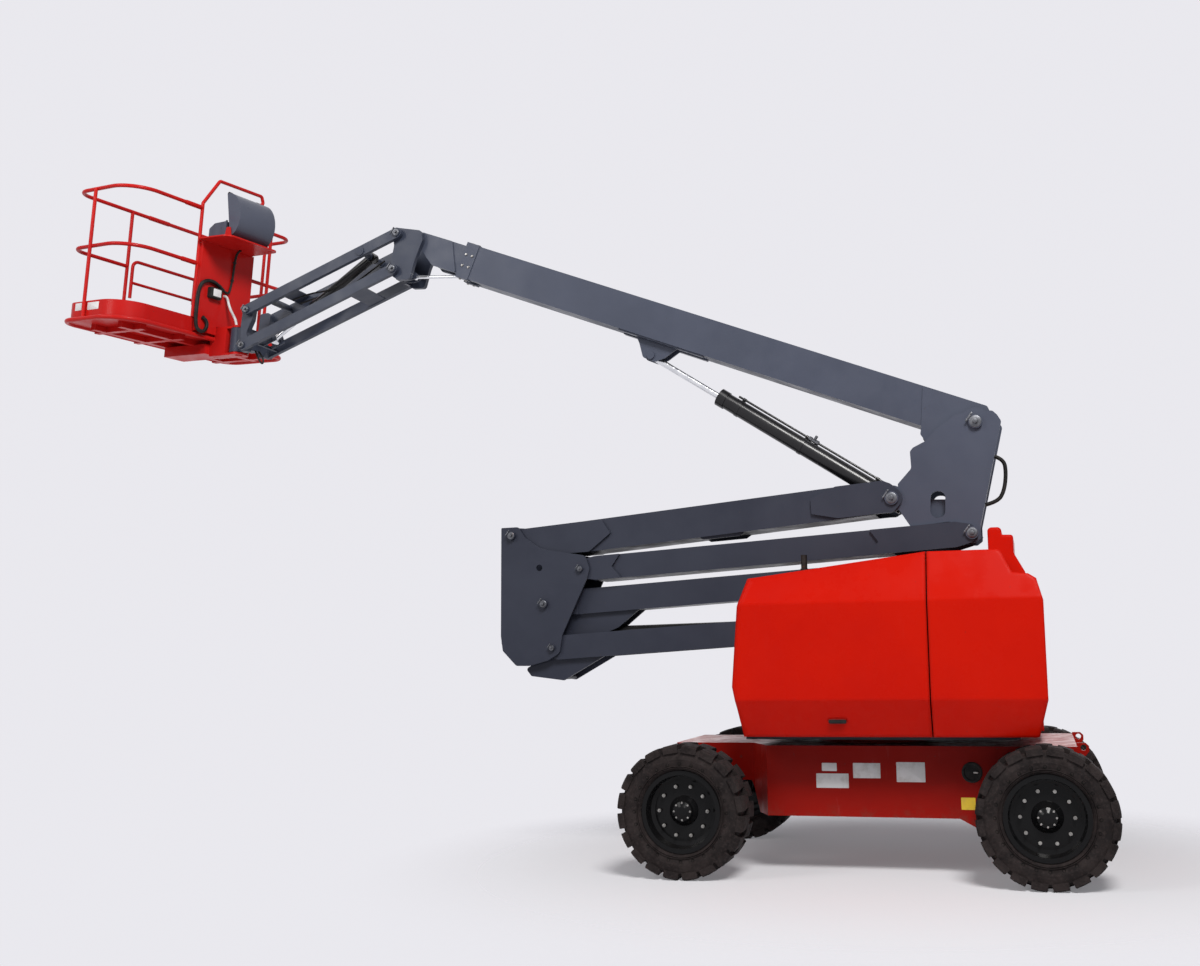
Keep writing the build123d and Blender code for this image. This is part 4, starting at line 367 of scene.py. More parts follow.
def plate(bm, place, long, wide, thick, corner=0.004, edge=0.0004):
    """A rounded flat plate on a surface: long along its X, wide along its Y."""
    part = bmesh.new()
    bmesh.ops.create_cube(part, size=1.0)
    bmesh.ops.scale(part, verts=part.verts, vec=(long, wide, thick))
    bmesh.ops.translate(part, verts=part.verts, vec=(0.0, 0.0, thick / 2))
    upright = [e for e in part.edges if abs(e.verts[0].co.z - e.verts[1].co.z) > thick / 2]
    bmesh.ops.bevel(part, geom=upright, offset=corner, affect="EDGES", segments=4, profile=0.5,
                    material=-1)
    rim = [e for e in part.edges if all(v.co.z > thick * 0.9 for v in e.verts)]
    bmesh.ops.bevel(part, geom=rim, offset=edge, affect="EDGES", segments=2, profile=0.5,
                    material=-1)
    merged(bm, part, place)


VINYL_THICK = 0.0010
white_vinyl = sheet_finish("white_vinyl", (0.80, 0.79, 0.80), (0.60, 0.57, 0.56))
yellow_vinyl = sheet_finish("yellow_vinyl", (0.80, 0.55, 0.03), (0.62, 0.42, 0.05))
frame_low, frame_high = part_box("chassis_frame")
side_face = abs(centre("chassis_frame").y - (frame_high[1] - frame_low[1]) / 2)


def on_side_plate(x, z, side, proud=0.0):
    """A place on a side plate of the chassis frame: side is -1 near and 1 far."""
    place = at(x, 0, z)
    place.y = side * (side_face + proud)
    return place


white_rows = ((-250, 732, 106, 56), (-230, 637, 230, 100), (14, 709, 192, 104), (321, 701, 198, 136))
chassis_labels = bmesh.new()
for x, z, long, tall in white_rows:
    for side in (-1, 1):
        label_place = stand(on_side_plate(x, z, side), (0, side, 0), (1, 0, 0))
        plate(chassis_labels, label_place, long / 1000, tall / 1000, VINYL_THICK)
finish_piece("chassis_blank_labels", chassis_labels, white_vinyl, "chassis")
warning_labels = bmesh.new()
for side in (-1, 1):
    label_place = stand(on_side_plate(706, 492, side), (0, side, 0), (1, 0, 0))
    plate(warning_labels, label_place, 0.096, 0.082, VINYL_THICK)
finish_piece("chassis_blank_yellow_labels", warning_labels, yellow_vinyl, "chassis")


# A round port on each side plate near the rear wheel: a black rubber
# grommet on the plate, with the end of a steel lever in it.
def rubber(name, main, dusted, grain=60.0, bump=0.25, rough=0.75):
    """Black rubber or moulded plastic with dust in its grain."""
    made, tree, shader, where = bare_material(name)
    soil = band(tree, cloud(tree, where, 7.0, 9.0), 0.34, 0.66)
    grit = band(tree, cloud(tree, where, 55.0, 6.0), 0.45, 0.7, 0.0, 0.6)
    tone = colour_mix(tree, soil, (*main, 1.0), (*dusted, 1.0))
    tone = colour_mix(tree, grit, tone, (*[c * 1.5 for c in dusted], 1.0))
    tree.links.new(tone, shader.inputs["Base Color"])
    tree.links.new(band(tree, cloud(tree, where, 18.0), 0.3, 0.7, rough - 0.12, rough + 0.15),
                   shader.inputs["Roughness"])
    shader.inputs["Specular IOR Level"].default_value = 0.14
    finish_bump(tree, shader, cloud(tree, where, grain, 5.0), bump, 0.004)
    return made


def turned(bm, place, profile, steps=24):
    """A round part spun from a profile of (radius, height) in metres."""
    part = bmesh.new()
    verts = [part.verts.new((r, 0.0, h)) for r, h in profile]
    edges = [part.edges.new(pair) for pair in zip(verts, verts[1:])]
    bmesh.ops.spin(part, geom=verts + edges, cent=(0, 0, 0), axis=(0, 0, 1), dvec=(0, 0, 0),
                   angle=2 * math.pi, steps=steps, use_merge=True)
    bmesh.ops.remove_doubles(part, verts=part.verts, dist=TINY)
    merged(bm, part, place)


black_rubber = rubber("black_rubber", (0.012, 0.012, 0.013), (0.030, 0.028, 0.027), rough=0.6, bump=0.1)
grommet_profile = [(0.0, 0.0008), (0.050, 0.0008), (0.052, 0.004), (0.056, 0.007), (0.064, 0.008),
                   (0.069, 0.006), (0.071, 0.0003)]
grommets = bmesh.new()
for side in (-1, 1):
    turned(grommets, stand(on_side_plate(739, 703, side), (0, side, 0)), grommet_profile, 40)
finish_piece("chassis_side_grommets", grommets, black_rubber, "chassis")
RUST_BROWN = (0.16, 0.06, 0.025, 1.0)


def metal(name, main, shade, rough=0.3, grain=90.0, rust=0.0):
    """Bare or plated steel with a drifting tone, fine scratches and a little rust."""
    made, tree, shader, where = bare_material(name)
    tone = colour_mix(tree, band(tree, cloud(tree, where, 12.0, 6.0), 0.35, 0.7), (*main, 1.0), (*shade, 1.0))
    stain = band(tree, cloud(tree, where, 23.0, 8.0), 0.62, 0.72, 0.0, rust)
    tone = colour_mix(tree, stain, tone, RUST_BROWN)
    tree.links.new(tone, shader.inputs["Base Color"])
    shader.inputs["Metallic"].default_value = 0.9
    tree.links.new(band(tree, cloud(tree, where, grain, 3.0), 0.3, 0.7, rough - 0.08, rough + 0.14),
                   shader.inputs["Roughness"])
    finish_bump(tree, shader, cloud(tree, where, grain * 3, 2.0), 0.05, 0.001)
    return made


zinc = metal("zinc_plate", (0.40, 0.39, 0.37), (0.24, 0.23, 0.22), rough=0.34, rust=0.35)
lever_profile = [(0.0, 0.034), (0.005, 0.034), (0.007, 0.031), (0.007, 0.0), (0.0, 0.0)]
lever_ends = bmesh.new()
for side in (-1, 1):
    lever_root = on_side_plate(752, 703, side, 0.005)
    turned(lever_ends, stand(lever_root, (0.86, 0.5 * side, 0)), lever_profile, 16)
finish_piece("chassis_lever_ends", lever_ends, zinc, "chassis")


# Front and rear axle, and the deck over the slewing ring: dark satin paint.
# The steering knuckles and the cylinder barrels are blacker, and the rods of
# the cylinders and of the steering are hard chrome.
frame_paint = paint("frame_paint", (0.030, 0.032, 0.040), (0.020, 0.021, 0.026), (0.20, 0.17, 0.15),
                    dust_and_sheen_amount=0.5, gloss=0.5, chips=0.3, low=(0.30, 0.75))
dress(frame_paint, "front_axle", "rear_axle", "turntable_frame")
black_paint = paint("black_steel", (0.013, 0.013, 0.015), (0.008, 0.008, 0.009), (0.11, 0.10, 0.095),
                    dust_and_sheen_amount=0.25, gloss=0.28, chips=0.15, coat=0.3)
dress(black_paint, "steering_knuckle_left", "steering_knuckle_right", "tower_cylinder_barrel",
      "lift_cylinder_barrel", "level_cylinder_barrel", "jib_cylinder_barrel")
hard_chrome = metal("hard_chrome", (0.80, 0.81, 0.83), (0.66, 0.67, 0.70), rough=0.14, grain=40.0)
dress(hard_chrome, "steering_rod", "tower_cylinder_rod", "lift_cylinder_rod", "level_cylinder_rod",
      "jib_cylinder_rod")


# Slewing ring bolts: a circle of hex bolts on the ring's outer flange.
CORNER_PER_FLAT = 0.577


def hex_bolt(bm, place, across, head, washer=1.25):
    """A washer and a chamfered hexagon head: across its flats and head high, in metres."""
    washer_radius = across * 0.5 * washer
    washer_top = across * 0.08
    turned(bm, place, [(0.0, 0.0002), (washer_radius, 0.0002), (washer_radius, washer_top),
                       (0.0, washer_top)], 20)
    corner_radius = across * CORNER_PER_FLAT
    part = bmesh.new()
    bmesh.ops.create_cone(part, cap_ends=True, segments=6, radius1=corner_radius, radius2=corner_radius,
                          depth=head)
    top = [e for e in part.edges if all(v.co.z > 0 for v in e.verts)]
    bmesh.ops.bevel(part, geom=top, offset=across * 0.07, affect="EDGES", segments=2, profile=0.5,
                    material=-1)
    merged(bm, part, place @ Matrix.Translation((0, 0, washer_top + head / 2)))


def round_ring(base, radius, count, height=0.0, start=0.0):
    """Placing matrices evenly round the Z of a base, start in radians."""
    for index in range(count):
        turn = Matrix.Rotation(start + 2 * math.pi * index / count, 4, "Z")
        yield base @ turn @ Matrix.Translation((radius, 0, height))


deck_bolts = bmesh.new()
deck_top = at(0, 0, 962)
for place in round_ring(stand(deck_top, (0, 0, 1)), 0.375, 30):
    hex_bolt(deck_bolts, place, 0.030, 0.018)
finish_piece("slewing_ring_bolts", deck_bolts, zinc, "turntable")


# Tyres: solid rough-terrain tyres, brown with dust, on black disc rims. Each side wall
# has a ring of moulded pits, darkened as painted shade, and three thin rings round the bead.
tyre_rubber = rubber("tyre_rubber", (0.0115, 0.0090, 0.0092), (0.027, 0.0205, 0.0200), grain=85.0, bump=0.5)
corners = ("front_left", "front_right", "rear_left", "rear_right")
dress(tyre_rubber, *["tyre_" + corner for corner in corners])
# Near-black rubber for the pits: painted shade in the hollows.
pits_painted_shade = rubber("pits_painted_shade", (0.004, 0.004, 0.004), (0.010, 0.009, 0.008), rough=0.85, bump=0.1)
rim_black = paint("rim_black", (0.0065, 0.0065, 0.007), (0.004, 0.004, 0.0045), (0.05, 0.042, 0.038),
                  dust_and_sheen_amount=0.10, gloss=0.14, chips=0.05, coat=0.16, mirror=0.06)
dress(rim_black, *["rim_" + corner for corner in corners])
PIT_COUNT = 24
PIT_CIRCLE = 0.331
WALL_INSET = 0.0125
pit_profile = [(0.0, -0.004), (0.006, -0.003), (0.0085, 0.0012), (0.0105, 0.0022), (0.0125, 0.0)]
for corner in corners:
    tyre_low, tyre_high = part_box("tyre_" + corner)
    half = (tyre_high[1] - tyre_low[1]) / 2
    pits = bmesh.new()
    bead = bmesh.new()
    for face in (-1, 1):
        wall = stand(centre("tyre_" + corner) + Vector((0, face * (half - WALL_INSET), 0)), (0, face, 0))
        for place in round_ring(wall, PIT_CIRCLE, PIT_COUNT):
            turned(pits, place, pit_profile, 12)
        for radius, proud in ((0.302, 0.000), (0.312, 0.002), (0.352, 0.001)):
            turned(bead, wall, [(radius - 0.004, -0.006), (radius - 0.002, 0.001 + proud),
                                (radius, 0.003 + proud), (radius + 0.002, 0.001 + proud),
                                (radius + 0.004, -0.006)], 96)
    finish_piece("tyre_pits_" + corner, pits, pits_painted_shade, "wheel_" + corner)
    finish_piece("tyre_bead_rings_" + corner, bead, tyre_rubber, "wheel_" + corner)


# Wheel nuts and hub cap bolts of zinc-plated steel. The nuts sit on the ten
# studs of the disc, whose ends stand out of them, the cap bolts on the hub.
NUT_COUNT = 10
NUT_CIRCLE = 0.173
NUT_START = 0.31
RIM_HALF = 0.1425
DISC_INSET = 0.095
BOSS_PROUD = 0.0205
HUB_PROUD = 0.052
stud_profile = [(0.0, 0.010), (0.005, 0.010), (0.006, 0.008), (0.006, 0.0)]
for corner in corners:
    side = -1 if corner.endswith("left") else 1
    hub = centre("tyre_" + corner)
    disc = hub + Vector((0, side * (RIM_HALF - DISC_INSET), 0))
    nut_face = stand(disc + Vector((0, side * BOSS_PROUD, 0)), (0, side, 0))
    hub_face = stand(disc + Vector((0, side * HUB_PROUD, 0)), (0, side, 0))
    nuts = bmesh.new()
    for place in round_ring(nut_face, NUT_CIRCLE, NUT_COUNT, start=NUT_START):
        hex_bolt(nuts, place, 0.020, 0.012)
    for place in round_ring(nut_face, NUT_CIRCLE, NUT_COUNT, 0.013, NUT_START):
        turned(nuts, place, stud_profile, 12)
    for place in round_ring(hub_face, 0.058, 8):
        hex_bolt(nuts, place, 0.013, 0.008)
    finish_piece("wheel_nuts_" + corner, nuts, zinc, "wheel_" + corner)


# Hoods, counterweight and the stepped tower cover: moulded and cast shells in
# bright red gloss, with a pale pink top that is a painted reflection of the sky, and eased edges.
# The pale pink on the upper faces is a painted reflection of the sky.
hood_paint = paint("hood_paint", (0.58, 0.008, 0.001), (0.53, 0.006, 0.001), (0.60, 0.22, 0.19),
                   dust_and_sheen_amount=0.30, gloss=0.24, chips=0.0, coat=0.06, mirror=0.05, round_edge=0.035)
dress(hood_paint, "hood_left", "hood_right", "counterweight", "tower_cover")


# Hood latches: a black plate with a lever on it, of moulded plastic, screwed
# to the sloping foot of each hood.
LATCH_OUT = 1068.2
LATCH_PROUD = 0.0155
for body, side in (("hood_left", -1), ("hood_right", 1)):
    foot_slope = Vector((0, side * 253.0, -95.0)).normalized()
    latch_middle = at(-125, side * LATCH_OUT, 1076)
    latch_place = stand(latch_middle + foot_slope * LATCH_PROUD, foot_slope, (1, 0, 0))
    lever_place = latch_place @ Matrix.Translation((-0.012, 0.0, 0.006))
    latch = bmesh.new()
    plate(latch, latch_place, 0.122, 0.030, 0.006, corner=0.012, edge=0.002)
    plate(latch, lever_place, 0.084, 0.014, 0.005, corner=0.006, edge=0.002)
    finish_piece(body + "_latch", latch, black_rubber, body)


# Engine: one cast block behind the far hood, oily and dusty.
cast_iron = metal("cast_iron", (0.10, 0.10, 0.10), (0.05, 0.048, 0.045), rough=0.6, grain=30.0, rust=0.4)
dress(cast_iron, "engine_block")


# Exhaust stub: a black tube with a clamp that stands up between the hoods.
soot_steel = metal("soot_steel", (0.035, 0.032, 0.030), (0.018, 0.016, 0.015), rough=0.6, rust=0.5)
stub_profile = [(0.0235, 0.0), (0.0235, 0.052), (0.030, 0.053), (0.030, 0.068), (0.0235, 0.069),
                (0.0235, 0.170), (0.0215, 0.172), (0.0195, 0.170), (0.0195, 0.02), (0.0, 0.02)]
stub_foot = at(-455, -316, 2096)
stub = bmesh.new()
turned(stub, stand(stub_foot, (0, 0, 1)), stub_profile, 28)
finish_piece("exhaust_stub", stub, soot_steel, "turntable")


# Tower, boom and jib: welded steel boxes and plates in blue-grey semi-gloss,
# with light dust on the upper faces and small chips. The jib's darker copy of the paint and the darkest copy
# low down are painted shade.
boom_paint = paint("boom_paint", (0.066, 0.075, 0.108), (0.054, 0.062, 0.090), (0.26, 0.26, 0.28),
                   dust_and_sheen_amount=0.25, gloss=0.36, chips=0.12, coat=0.05)
dress(boom_paint, "main_boom", "fly_boom", "upper_knuckle")
# A darker copy of the boom's paint for the jib: painted shade.
jib_paint_painted_shade = paint("jib_paint_painted_shade", (0.046, 0.054, 0.080), (0.034, 0.040, 0.062), (0.24, 0.24, 0.26),
                  dust_and_sheen_amount=0.25, gloss=0.36, chips=0.12, coat=0.05)
dress(jib_paint_painted_shade, "jib_knuckle", "jib_upper_arm", "jib_lower_arm", "jib_end")
# The darkest copy of the boom's paint, low down on the arms, links and mid knuckle: painted shade.
tower_paint_painted_shade = paint("tower_paint_painted_shade", (0.034, 0.038, 0.056), (0.024, 0.027, 0.042), (0.22, 0.22, 0.24),
                    dust_and_sheen_amount=0.25, gloss=0.38, chips=0.15, coat=0.05)
dress(tower_paint_painted_shade, "lower_arm", "lower_link", "mid_knuckle", "upper_arm", "upper_link")


# Pin ends: the pivot pins of the knuckles and of the jib's end have a turned
# cap with a bolt in its middle and a keeper bar held by two small bolts, all
# in dull plated steel.
dull_steel = metal("dull_steel", (0.15, 0.155, 0.17), (0.08, 0.083, 0.092), rough=0.42, rust=0.3)


def pin_end(bm, x, z, face_y, radius, side):
    """One dressed end of a pin; radius is the pin's, in metres."""
    place = stand(at(x, side * face_y, z), (0, side, 0), (0.6, 0, 0.8))
    cap_profile = [(0.0, 0.010), (radius * 0.30, 0.010), (radius * 0.34, 0.006), (radius * 0.80, 0.006),
                   (radius * 0.92, 0.003), (radius * 0.94, 0.0002)]
    keeper_off = radius * 1.16
    keeper_place = place @ Matrix.Translation((0, keeper_off, 0.0))
    turned(bm, place, cap_profile, 36)
    hex_bolt(bm, place @ Matrix.Translation((0, 0, 0.0095)), radius * 0.72, radius * 0.36, 1.2)
    plate(bm, keeper_place, radius * 1.7, radius * 0.30, 0.006, 0.003, 0.001)
    for shift in (-0.6, 0.6):
        bolt_place = place @ Matrix.Translation((radius * shift, keeper_off, 0.006))
        hex_bolt(bm, bolt_place, radius * 0.24, radius * 0.12, 1.3)


pin_rows = {
    "mid_knuckle": ((-2868, 2509, 246, 0.032), (-2589, 1951, 246, 0.032), (-2282, 2223, 238, 0.024),
                    (-2521, 1600, 238, 0.024)),
    "upper_knuckle": ((851, 3239, 192, 0.050), (207, 2686, 213, 0.046), (793, 2400, 213, 0.042)),
    "jib_knuckle": ((-3951, 5178, 229, 0.032), (-3985, 4860, 229, 0.032)),
    "jib_end": ((-5406.4, 4616.4, 229, 0.030), (-5440.4, 4298.4, 229, 0.030)),
}
for body, rows in pin_rows.items():
    pins = bmesh.new()
    for x, z, face_y, radius in rows:
        for side in (-1, 1):
            pin_end(pins, x, z, face_y, radius, side)
    finish_piece(body + "_pin_ends", pins, dull_steel, body)


# Main boom: zinc-plated screws that hold the slide pads, on all four faces of
# the front collar.
BOOM_SLOPE = math.radians(21.6)
COLLAR_HALF_HIGH = 157.2
COLLAR_HALF_WIDE = 126.2
boom_along = Vector((-math.cos(BOOM_SLOPE), 0, math.sin(BOOM_SLOPE)))
boom_up = Vector((math.sin(BOOM_SLOPE), 0, math.cos(BOOM_SLOPE)))


def on_boom(u, v, y):
    """A place on the boom in millimetres: u along it from its pivot, v above its middle line."""
    return at(851, y, 3239) + boom_along * (u / 1000) + boom_up * (v / 1000)


def collar_screw(bm, u, v, y, out):
    """One screw whose head points out."""
    hex_bolt(bm, stand(on_boom(u, v, y), out, boom_along), 0.017, 0.009)


collar_screws = bmesh.new()
for u in (4460, 4520):
    for y in (-70, 70):
        collar_screw(collar_screws, u, COLLAR_HALF_HIGH, y, boom_up)
        collar_screw(collar_screws, u, -COLLAR_HALF_HIGH, y * 1.2, -boom_up)
    for v in (-50, 50):
        collar_screw(collar_screws, u, v, -COLLAR_HALF_WIDE, (0, -1, 0))
        collar_screw(collar_screws, u, v, COLLAR_HALF_WIDE, (0, 1, 0))
finish_piece("boom_collar_screws", collar_screws, zinc, "main_boom")


# Lift cylinder: a black steel oil tube along the top of the barrel, held by
# three clamps, and a plated fitting in the tube with a side branch.
TUBE_RISE = 0.083
lift_foot = at(305, 0, 2617)
lift_line = (on_boom(2655, -275, 0) - lift_foot).normalized()
lift_up = lift_line.cross(Vector((0, -1, 0)))
if lift_up.z < 0:
    lift_up = -lift_up


def along_lift(run, rise):
    """A place on the lift cylinder in metres: run from its foot pin, rise above its axis."""
    return lift_foot + lift_line * run + lift_up * rise


tube_profile = [(0.0, 0.0), (0.009, 0.0), (0.009, 1.40), (0.0, 1.40)]
barrel_clamp_profile = [(0.0662, 0.0), (0.0705, 0.001), (0.0705, 0.029), (0.0662, 0.030)]
tube_clamp_profile = [(0.0092, 0.0), (0.013, 0.001), (0.013, 0.029), (0.0092, 0.030)]
cylinder_tube = bmesh.new()
turned(cylinder_tube, stand(along_lift(0.22, TUBE_RISE), lift_line), tube_profile, 16)
for run in (0.30, 0.95, 1.55):
    turned(cylinder_tube, stand(along_lift(run, 0.0), lift_line), barrel_clamp_profile, 48)
    turned(cylinder_tube, stand(along_lift(run, TUBE_RISE), lift_line), tube_clamp_profile, 20)
finish_piece("lift_cylinder_tube", cylinder_tube, black_paint, "lift_barrel")
fitting_profile = [(0.0095, 0.0), (0.019, 0.002), (0.019, 0.030), (0.015, 0.034), (0.015, 0.062),
                   (0.019, 0.066), (0.019, 0.090), (0.0095, 0.092)]
branch_profile = [(0.0, 0.048), (0.010, 0.047), (0.012, 0.040), (0.012, 0.012), (0.0, 0.012)]
fitting = bmesh.new()
turned(fitting, stand(along_lift(0.86, TUBE_RISE), lift_line), fitting_profile, 6)
turned(fitting, stand(along_lift(0.905, TUBE_RISE), lift_up), branch_profile, 16)
finish_piece("lift_cylinder_fitting", fitting, dull_steel, "lift_barrel")


# Knuckle hose: one thick black rubber hose that leaves the upper knuckle,
# loops out behind it and goes back in lower down.
def hose_curve(name, points, radius, material, body):
    """A smooth round hose whose line is drawn by its control points."""
    data = bpy.data.curves.new(name, "CURVE")
    data.dimensions = "3D"
    data.bevel_depth = radius
    data.bevel_resolution = 4
    data.resolution_u = 12
    data.use_fill_caps = True
    line = data.splines.new("NURBS")
    line.points.add(len(points) - 1)
    for point, place in zip(line.points, points):
        point.co = (*place, 1.0)
    line.order_u = 3
    line.use_endpoint_u = True
    data.materials.append(material)
    obj = bpy.data.objects.new(name, data)
    bpy.context.collection.objects.link(obj)
    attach(obj, body)
    return obj


def drawn_length(obj):
    """Length of a hose's own line."""
    shape = obj.data.copy()
    shape.bevel_depth = 0.0
    probe = bpy.data.objects.new("probe", shape)
    bpy.context.collection.objects.link(probe)
    bpy.context.view_layer.update()
    line = bpy.data.meshes.new_from_object(probe)
    ends = [[line.vertices[index].co for index in edge.vertices] for edge in line.edges]
    total = sum((first - last).length for first, last in ends)
    bpy.data.objects.remove(probe)
    bpy.data.meshes.remove(line)
    return total


hose_rubber = rubber("hose_rubber", (0.009, 0.009, 0.009), (0.022, 0.020, 0.019), grain=160.0,
                     bump=0.15, rough=0.5)
knuckle_points = ((976, 2985), (1045, 2960), (1055, 2850), (1035, 2720), (985, 2640), (890, 2620))
knuckle_route = [at(x, -40, z) for x, z in knuckle_points]
knuckle_hose = hose_curve("knuckle_hose_dressed", knuckle_route, 0.015, hose_rubber, "upper_knuckle")
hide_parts("knuckle_hose")
drawn_length(knuckle_hose)


# Platform: red tube rails, toe boards, floor ring and sheet panel, all in
# gloss red that has gone a little dull, with paler pink tops. The console and its
# cover are grey.
platform_paint = paint("platform_paint", (0.56, 0.012, 0.009), (0.47, 0.010, 0.010), (0.44, 0.20, 0.20),
                       dust_and_sheen_amount=0.25, gloss=0.34, chips=0.2, coat=0.10, mirror=0.10)
dress(platform_paint, "platform_floor", "platform_rails", "platform_gate", "console_panel")
console_grey = paint("console_grey", (0.084, 0.093, 0.130), (0.066, 0.074, 0.106), (0.18, 0.18, 0.19),
                     dust_and_sheen_amount=0.2, gloss=0.33, chips=0.0, coat=0.15)
dress(console_grey, "control_console", "console_cover")
PLATFORM_TILT = math.radians(3.8)
PLATFORM_TURN = math.radians(-14.6)


def deck(a, b, h):
    """A place on the platform in millimetres.

    a goes outward from the rotator, b along the platform and h up its tilted axis.
    """
    turn = Matrix.Rotation(PLATFORM_TILT, 4, "Y") @ Matrix.Rotation(PLATFORM_TURN, 4, "Z")
    return at(-5600, 0, 4390) + (turn @ Vector((a, b, h))) / 1000


def deck_way(a, b, h):
    """A direction on the platform."""
    return deck(a, b, h) - deck(0, 0, 0)


# Rail sleeves: short slipped-on couplings where two lengths of rail meet.
sleeve_rows = ((-304, 1190, -480, -310), (-304, 674, -470, -320), (-1052, 1190, -280, -60),
               (-1052, 674, 400, 520))
sleeves = bmesh.new()
for a, h, start, end in sleeve_rows:
    first = deck(a, start, h)
    last = deck(a, end, h)
    run = (last - first).length
    turned(sleeves, stand(first, last - first),
           [(0.0172, 0.0), (0.0205, 0.002), (0.0212, 0.006), (0.0212, run - 0.006),
            (0.0205, run - 0.002), (0.0172, run)], 28)
finish_piece("rail_sleeves", sleeves, platform_paint, "platform")


# Platform hose: a hose in a white spiral wrap, from a fitting on the console
# panel down to the rotator's bracket.
white_wrap = sheet_finish("white_wrap", (0.74, 0.74, 0.75), (0.42, 0.41, 0.41), rough=0.5)
platform_route = [deck(-253.7, -10, 435), deck(-211.7, -10, 435), deck(-183.7, 0, 325),
                  deck(-100, 30, 194.3), deck(-100, 30, 134.3)]
platform_hose = hose_curve("platform_hose_dressed", platform_route, 0.012, white_wrap, "platform")
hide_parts("platform_hose")
drawn_length(platform_hose)


# Console cable: black flexible cable that drops from the shelf down the
# panel, turns aside in a thick bundle at the panel's edge, and is clipped.
def clipped_hose(name, points, radius, material, body):
    """A hose held along its whole length, as a plain mesh."""
    curve = hose_curve(name + "_line", points, radius, material, body)
    shape = bpy.data.meshes.new_from_object(curve.evaluated_get(bpy.context.evaluated_depsgraph_get()))
    bpy.data.objects.remove(curve)
    bm = bmesh.new()
    bm.from_mesh(shape)
    bpy.data.meshes.remove(shape)
    bmesh.ops.remove_doubles(bm, verts=bm.verts, dist=TINY)
    finish_piece(name, bm, material, body, crease=60.0)


cable_points = ((-180, 70, 884), (-225, 68, 870), (-243, 66, 780), (-243, 60, 640), (-243, 44, 520),
                (-240, 20, 455), (-236, -40, 480))
clipped_hose("console_cable", [deck(*point) for point in cable_points], 0.0105, hose_rubber,
             "platform")
bundle_points = ((-236, -40, 480), (-232, -120, 530), (-232, -230, 535), (-236, -306, 470),
                 (-240, -312, 300), (-240, -310, 130), (-232, -292, 62), (-222, -230, 50),
                 (-226, -190, 110), (-232, -200, 170), (-240, -240, 190))
clipped_hose("console_cable_bundle", [deck(*point) for point in bundle_points], 0.0165, hose_rubber,
             "platform")
PANEL_FACE = -253.6


def on_panel(b, h):
    """A placing matrix on the console panel's face, its X across the panel."""
    return stand(deck(PANEL_FACE, b, h), deck_way(1, 0, 0), deck_way(0, 1, 0))


cable_clips = bmesh.new()
for b, h in ((66, 770), (56, 600)):
    plate(cable_clips, on_panel(b, h), 0.030, 0.014, 0.019, corner=0.003, edge=0.002)
finish_piece("console_cable_clips", cable_clips, black_rubber, "platform")


# Socket box on the panel: a black moulded box with a bare white label.
socket_place = on_panel(-135, 430)
lid_place = socket_place @ Matrix.Translation((0, 0, 0.040))
label_place = socket_place @ Matrix.Translation((0.004, 0.002, 0.0521))
socket_box = bmesh.new()
plate(socket_box, socket_place, 0.128, 0.098, 0.046, corner=0.010, edge=0.004)
plate(socket_box, lid_place, 0.120, 0.090, 0.012, corner=0.008, edge=0.002)
finish_piece("socket_box", socket_box, black_rubber, "platform")
socket_label = bmesh.new()
plate(socket_label, label_place, 0.086, 0.068, 0.0008)
finish_piece("socket_box_blank_label", socket_label, white_vinyl, "platform")


# Two blank white labels on the end of the toe board.
TOE_BOARD_FACE = -1037.3
toe_labels = bmesh.new()
for a, h, long in ((-838, 138, 0.132), (-664, 134, 0.150)):
    label_place = stand(deck(a, TOE_BOARD_FACE, h), deck_way(0, -1, 0), deck_way(1, 0, 0))
    plate(toe_labels, label_place, long, 0.066, 0.0009)
finish_piece("toe_board_blank_labels", toe_labels, white_vinyl, "platform")


# Console controls: two joysticks on rubber boots, a row of toggle levers, a
# red stop button and a blank fascia, all low enough to clear the cover.
CONSOLE_FACE = 1078.8
FASCIA_FACE = 1080.8
fascia_grey = sheet_finish("fascia_grey", (0.16, 0.16, 0.17), (0.10, 0.10, 0.10))
console_up = deck_way(0, 0, 1)
fascia_place = stand(deck(-190, 0, CONSOLE_FACE), console_up, deck_way(0, 1, 0))
fascia = bmesh.new()
plate(fascia, fascia_place, 0.330, 0.126, 0.0022, corner=0.008, edge=0.0008)
finish_piece("console_fascia", fascia, fascia_grey, "platform")


def on_fascia(a, b):
    """A placing matrix on the fascia whose Z points up."""
    return stand(deck(a, b, FASCIA_FACE), console_up)


stick_profile = [(0.0, 0.0), (0.021, 0.0), (0.021, 0.003), (0.017, 0.005), (0.018, 0.008), (0.013, 0.010),
                 (0.014, 0.013), (0.009, 0.015), (0.0075, 0.020), (0.0085, 0.026), (0.0105, 0.031),
                 (0.0085, 0.036), (0.0, 0.038)]
toggle_profile = [(0.0, 0.0), (0.0065, 0.0), (0.0065, 0.003), (0.0035, 0.004), (0.0025, 0.008),
                  (0.0038, 0.017), (0.0, 0.019)]
stop_profile = [(0.0, 0.0), (0.010, 0.0), (0.010, 0.012), (0.019, 0.013), (0.020, 0.017), (0.017, 0.022),
                (0.0, 0.024)]
sticks = bmesh.new()
for b in (-112, 112):
    turned(sticks, on_fascia(-188, b), stick_profile, 28)
for b in (-58, -34, -10, 14, 38, 62):
    turned(sticks, on_fascia(-206, b), toggle_profile, 14)
finish_piece("console_levers", sticks, black_rubber, "platform")
stop_red = sheet_finish("stop_red", (0.62, 0.015, 0.010), (0.40, 0.012, 0.010), 0.3)
stop = bmesh.new()
turned(stop, on_fascia(-160, 0), stop_profile, 28)
finish_piece("console_stop_button", stop, stop_red, "platform")


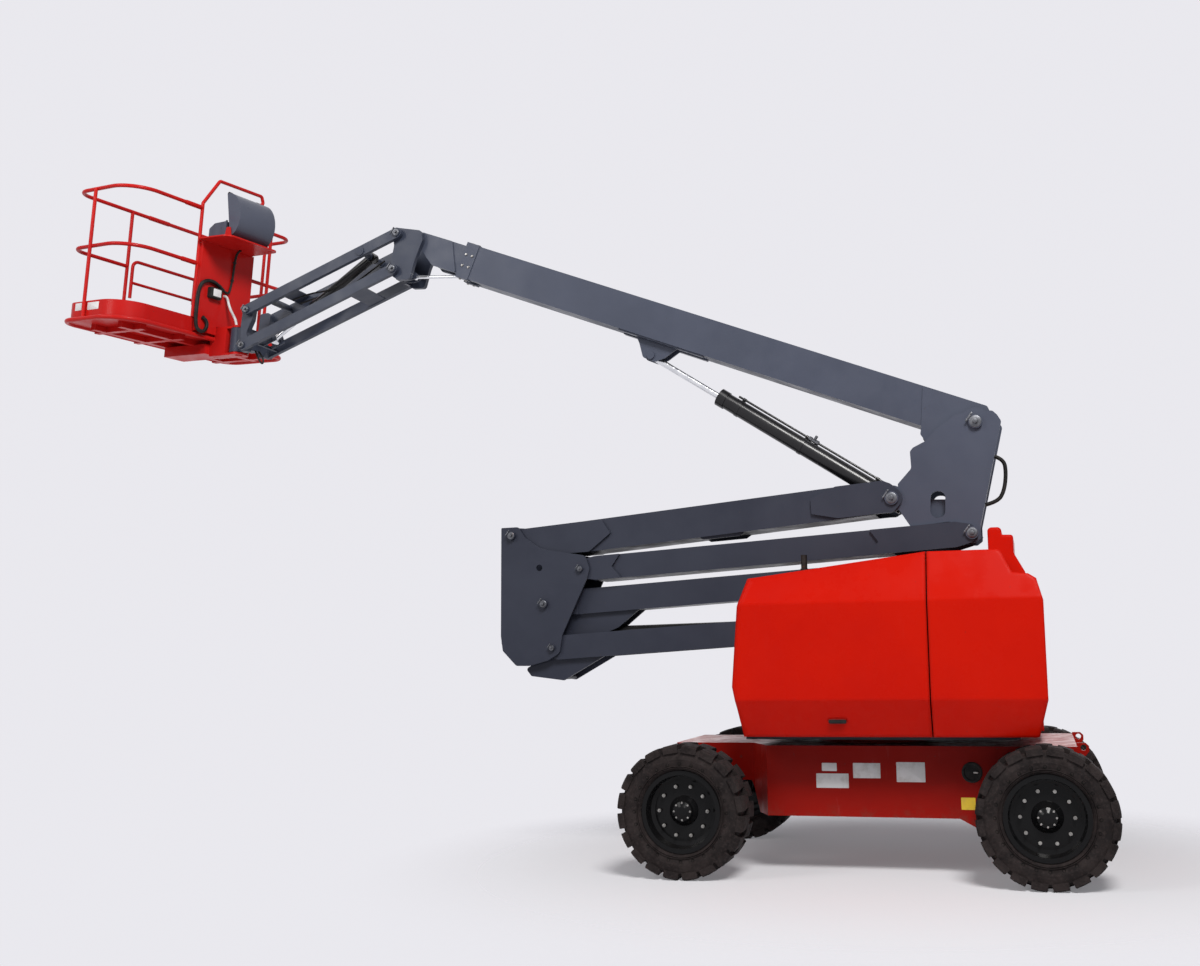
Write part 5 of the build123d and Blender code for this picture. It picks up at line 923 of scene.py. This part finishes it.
# Cover knobs: two turned catches on the upper edge of the drum cover.
COVER_LEAN = math.radians(11.0)
COVER_REACH = 360
knob_a = -36 - COVER_REACH * math.sin(COVER_LEAN) - 3
knob_h = 985 + COVER_REACH * math.cos(COVER_LEAN)
knob_profile = [(0.0, -0.021), (0.010, -0.021), (0.015, -0.016), (0.015, 0.016), (0.010, 0.021),
                (0.0, 0.021)]
cover_knobs = bmesh.new()
for b in (-168, 150):
    turned(cover_knobs, stand(deck(knob_a, b, knob_h), deck_way(0, 1, 0)), knob_profile, 20)
finish_piece("cover_knobs", cover_knobs, black_rubber, "console_cover")


# Jib hoses: a pair of hoses clipped inside the upper arm, down to the
# cylinder, and a short slack loop under the jib's end.
jib_start = at(-3951, 0, 5178)
jib_along = (at(-5406.4, 0, 4616.4) - jib_start).normalized()
jib_up = Vector((-jib_along.z, 0, jib_along.x))
if jib_up.z < 0:
    jib_up = -jib_up


def jib_place(run, rise, y):
    """A place on the jib in millimetres: run along the upper arm from its rear pin, rise above it."""
    return jib_start + jib_along * (run / 1000) + jib_up * (rise / 1000) + Vector((0, y / 1000, 0))


for name, y in (("jib_hose_near", -66), ("jib_hose_far", 66)):
    hose_points = ((290, -48, y), (400, -66, y), (540, -98, y * 0.9), (700, -128, y * 0.8),
                   (860, -112, y * 0.8), (1010, -64, y), (1180, -48, y))
    clipped_hose(name, [jib_place(*point) for point in hose_points], 0.0075, hose_rubber,
                 "jib_upper_arm")
loop_points = ((-5392, -70, 4270), (-5372, -78, 4225), (-5338, -82, 4168), (-5312, -82, 4142),
               (-5300, -80, 4170), (-5325, -76, 4222), (-5362, -66, 4262))
clipped_hose("jib_end_slack_loop", [at(*point) for point in loop_points], 0.008, hose_rubber,
             "jib_end")


# Floor tread: rows of raised steel drops pressed into the platform's floor,
# each row shifted by half a step.
TREAD_STEP = 62
FLOOR_FACE = 35.0
drop_profile = [(0.0, 0.0022), (0.006, 0.0019), (0.011, 0.0002)]
drops = bmesh.new()
for row, a in enumerate(range(-990, -360, TREAD_STEP), 1):
    shift = (row % 2) * TREAD_STEP // 2
    for b in range(-850 + shift, 640, TREAD_STEP):
        turned(drops, stand(deck(a, b, FLOOR_FACE), console_up), drop_profile, 8)
finish_piece("floor_tread", drops, platform_paint, "platform")
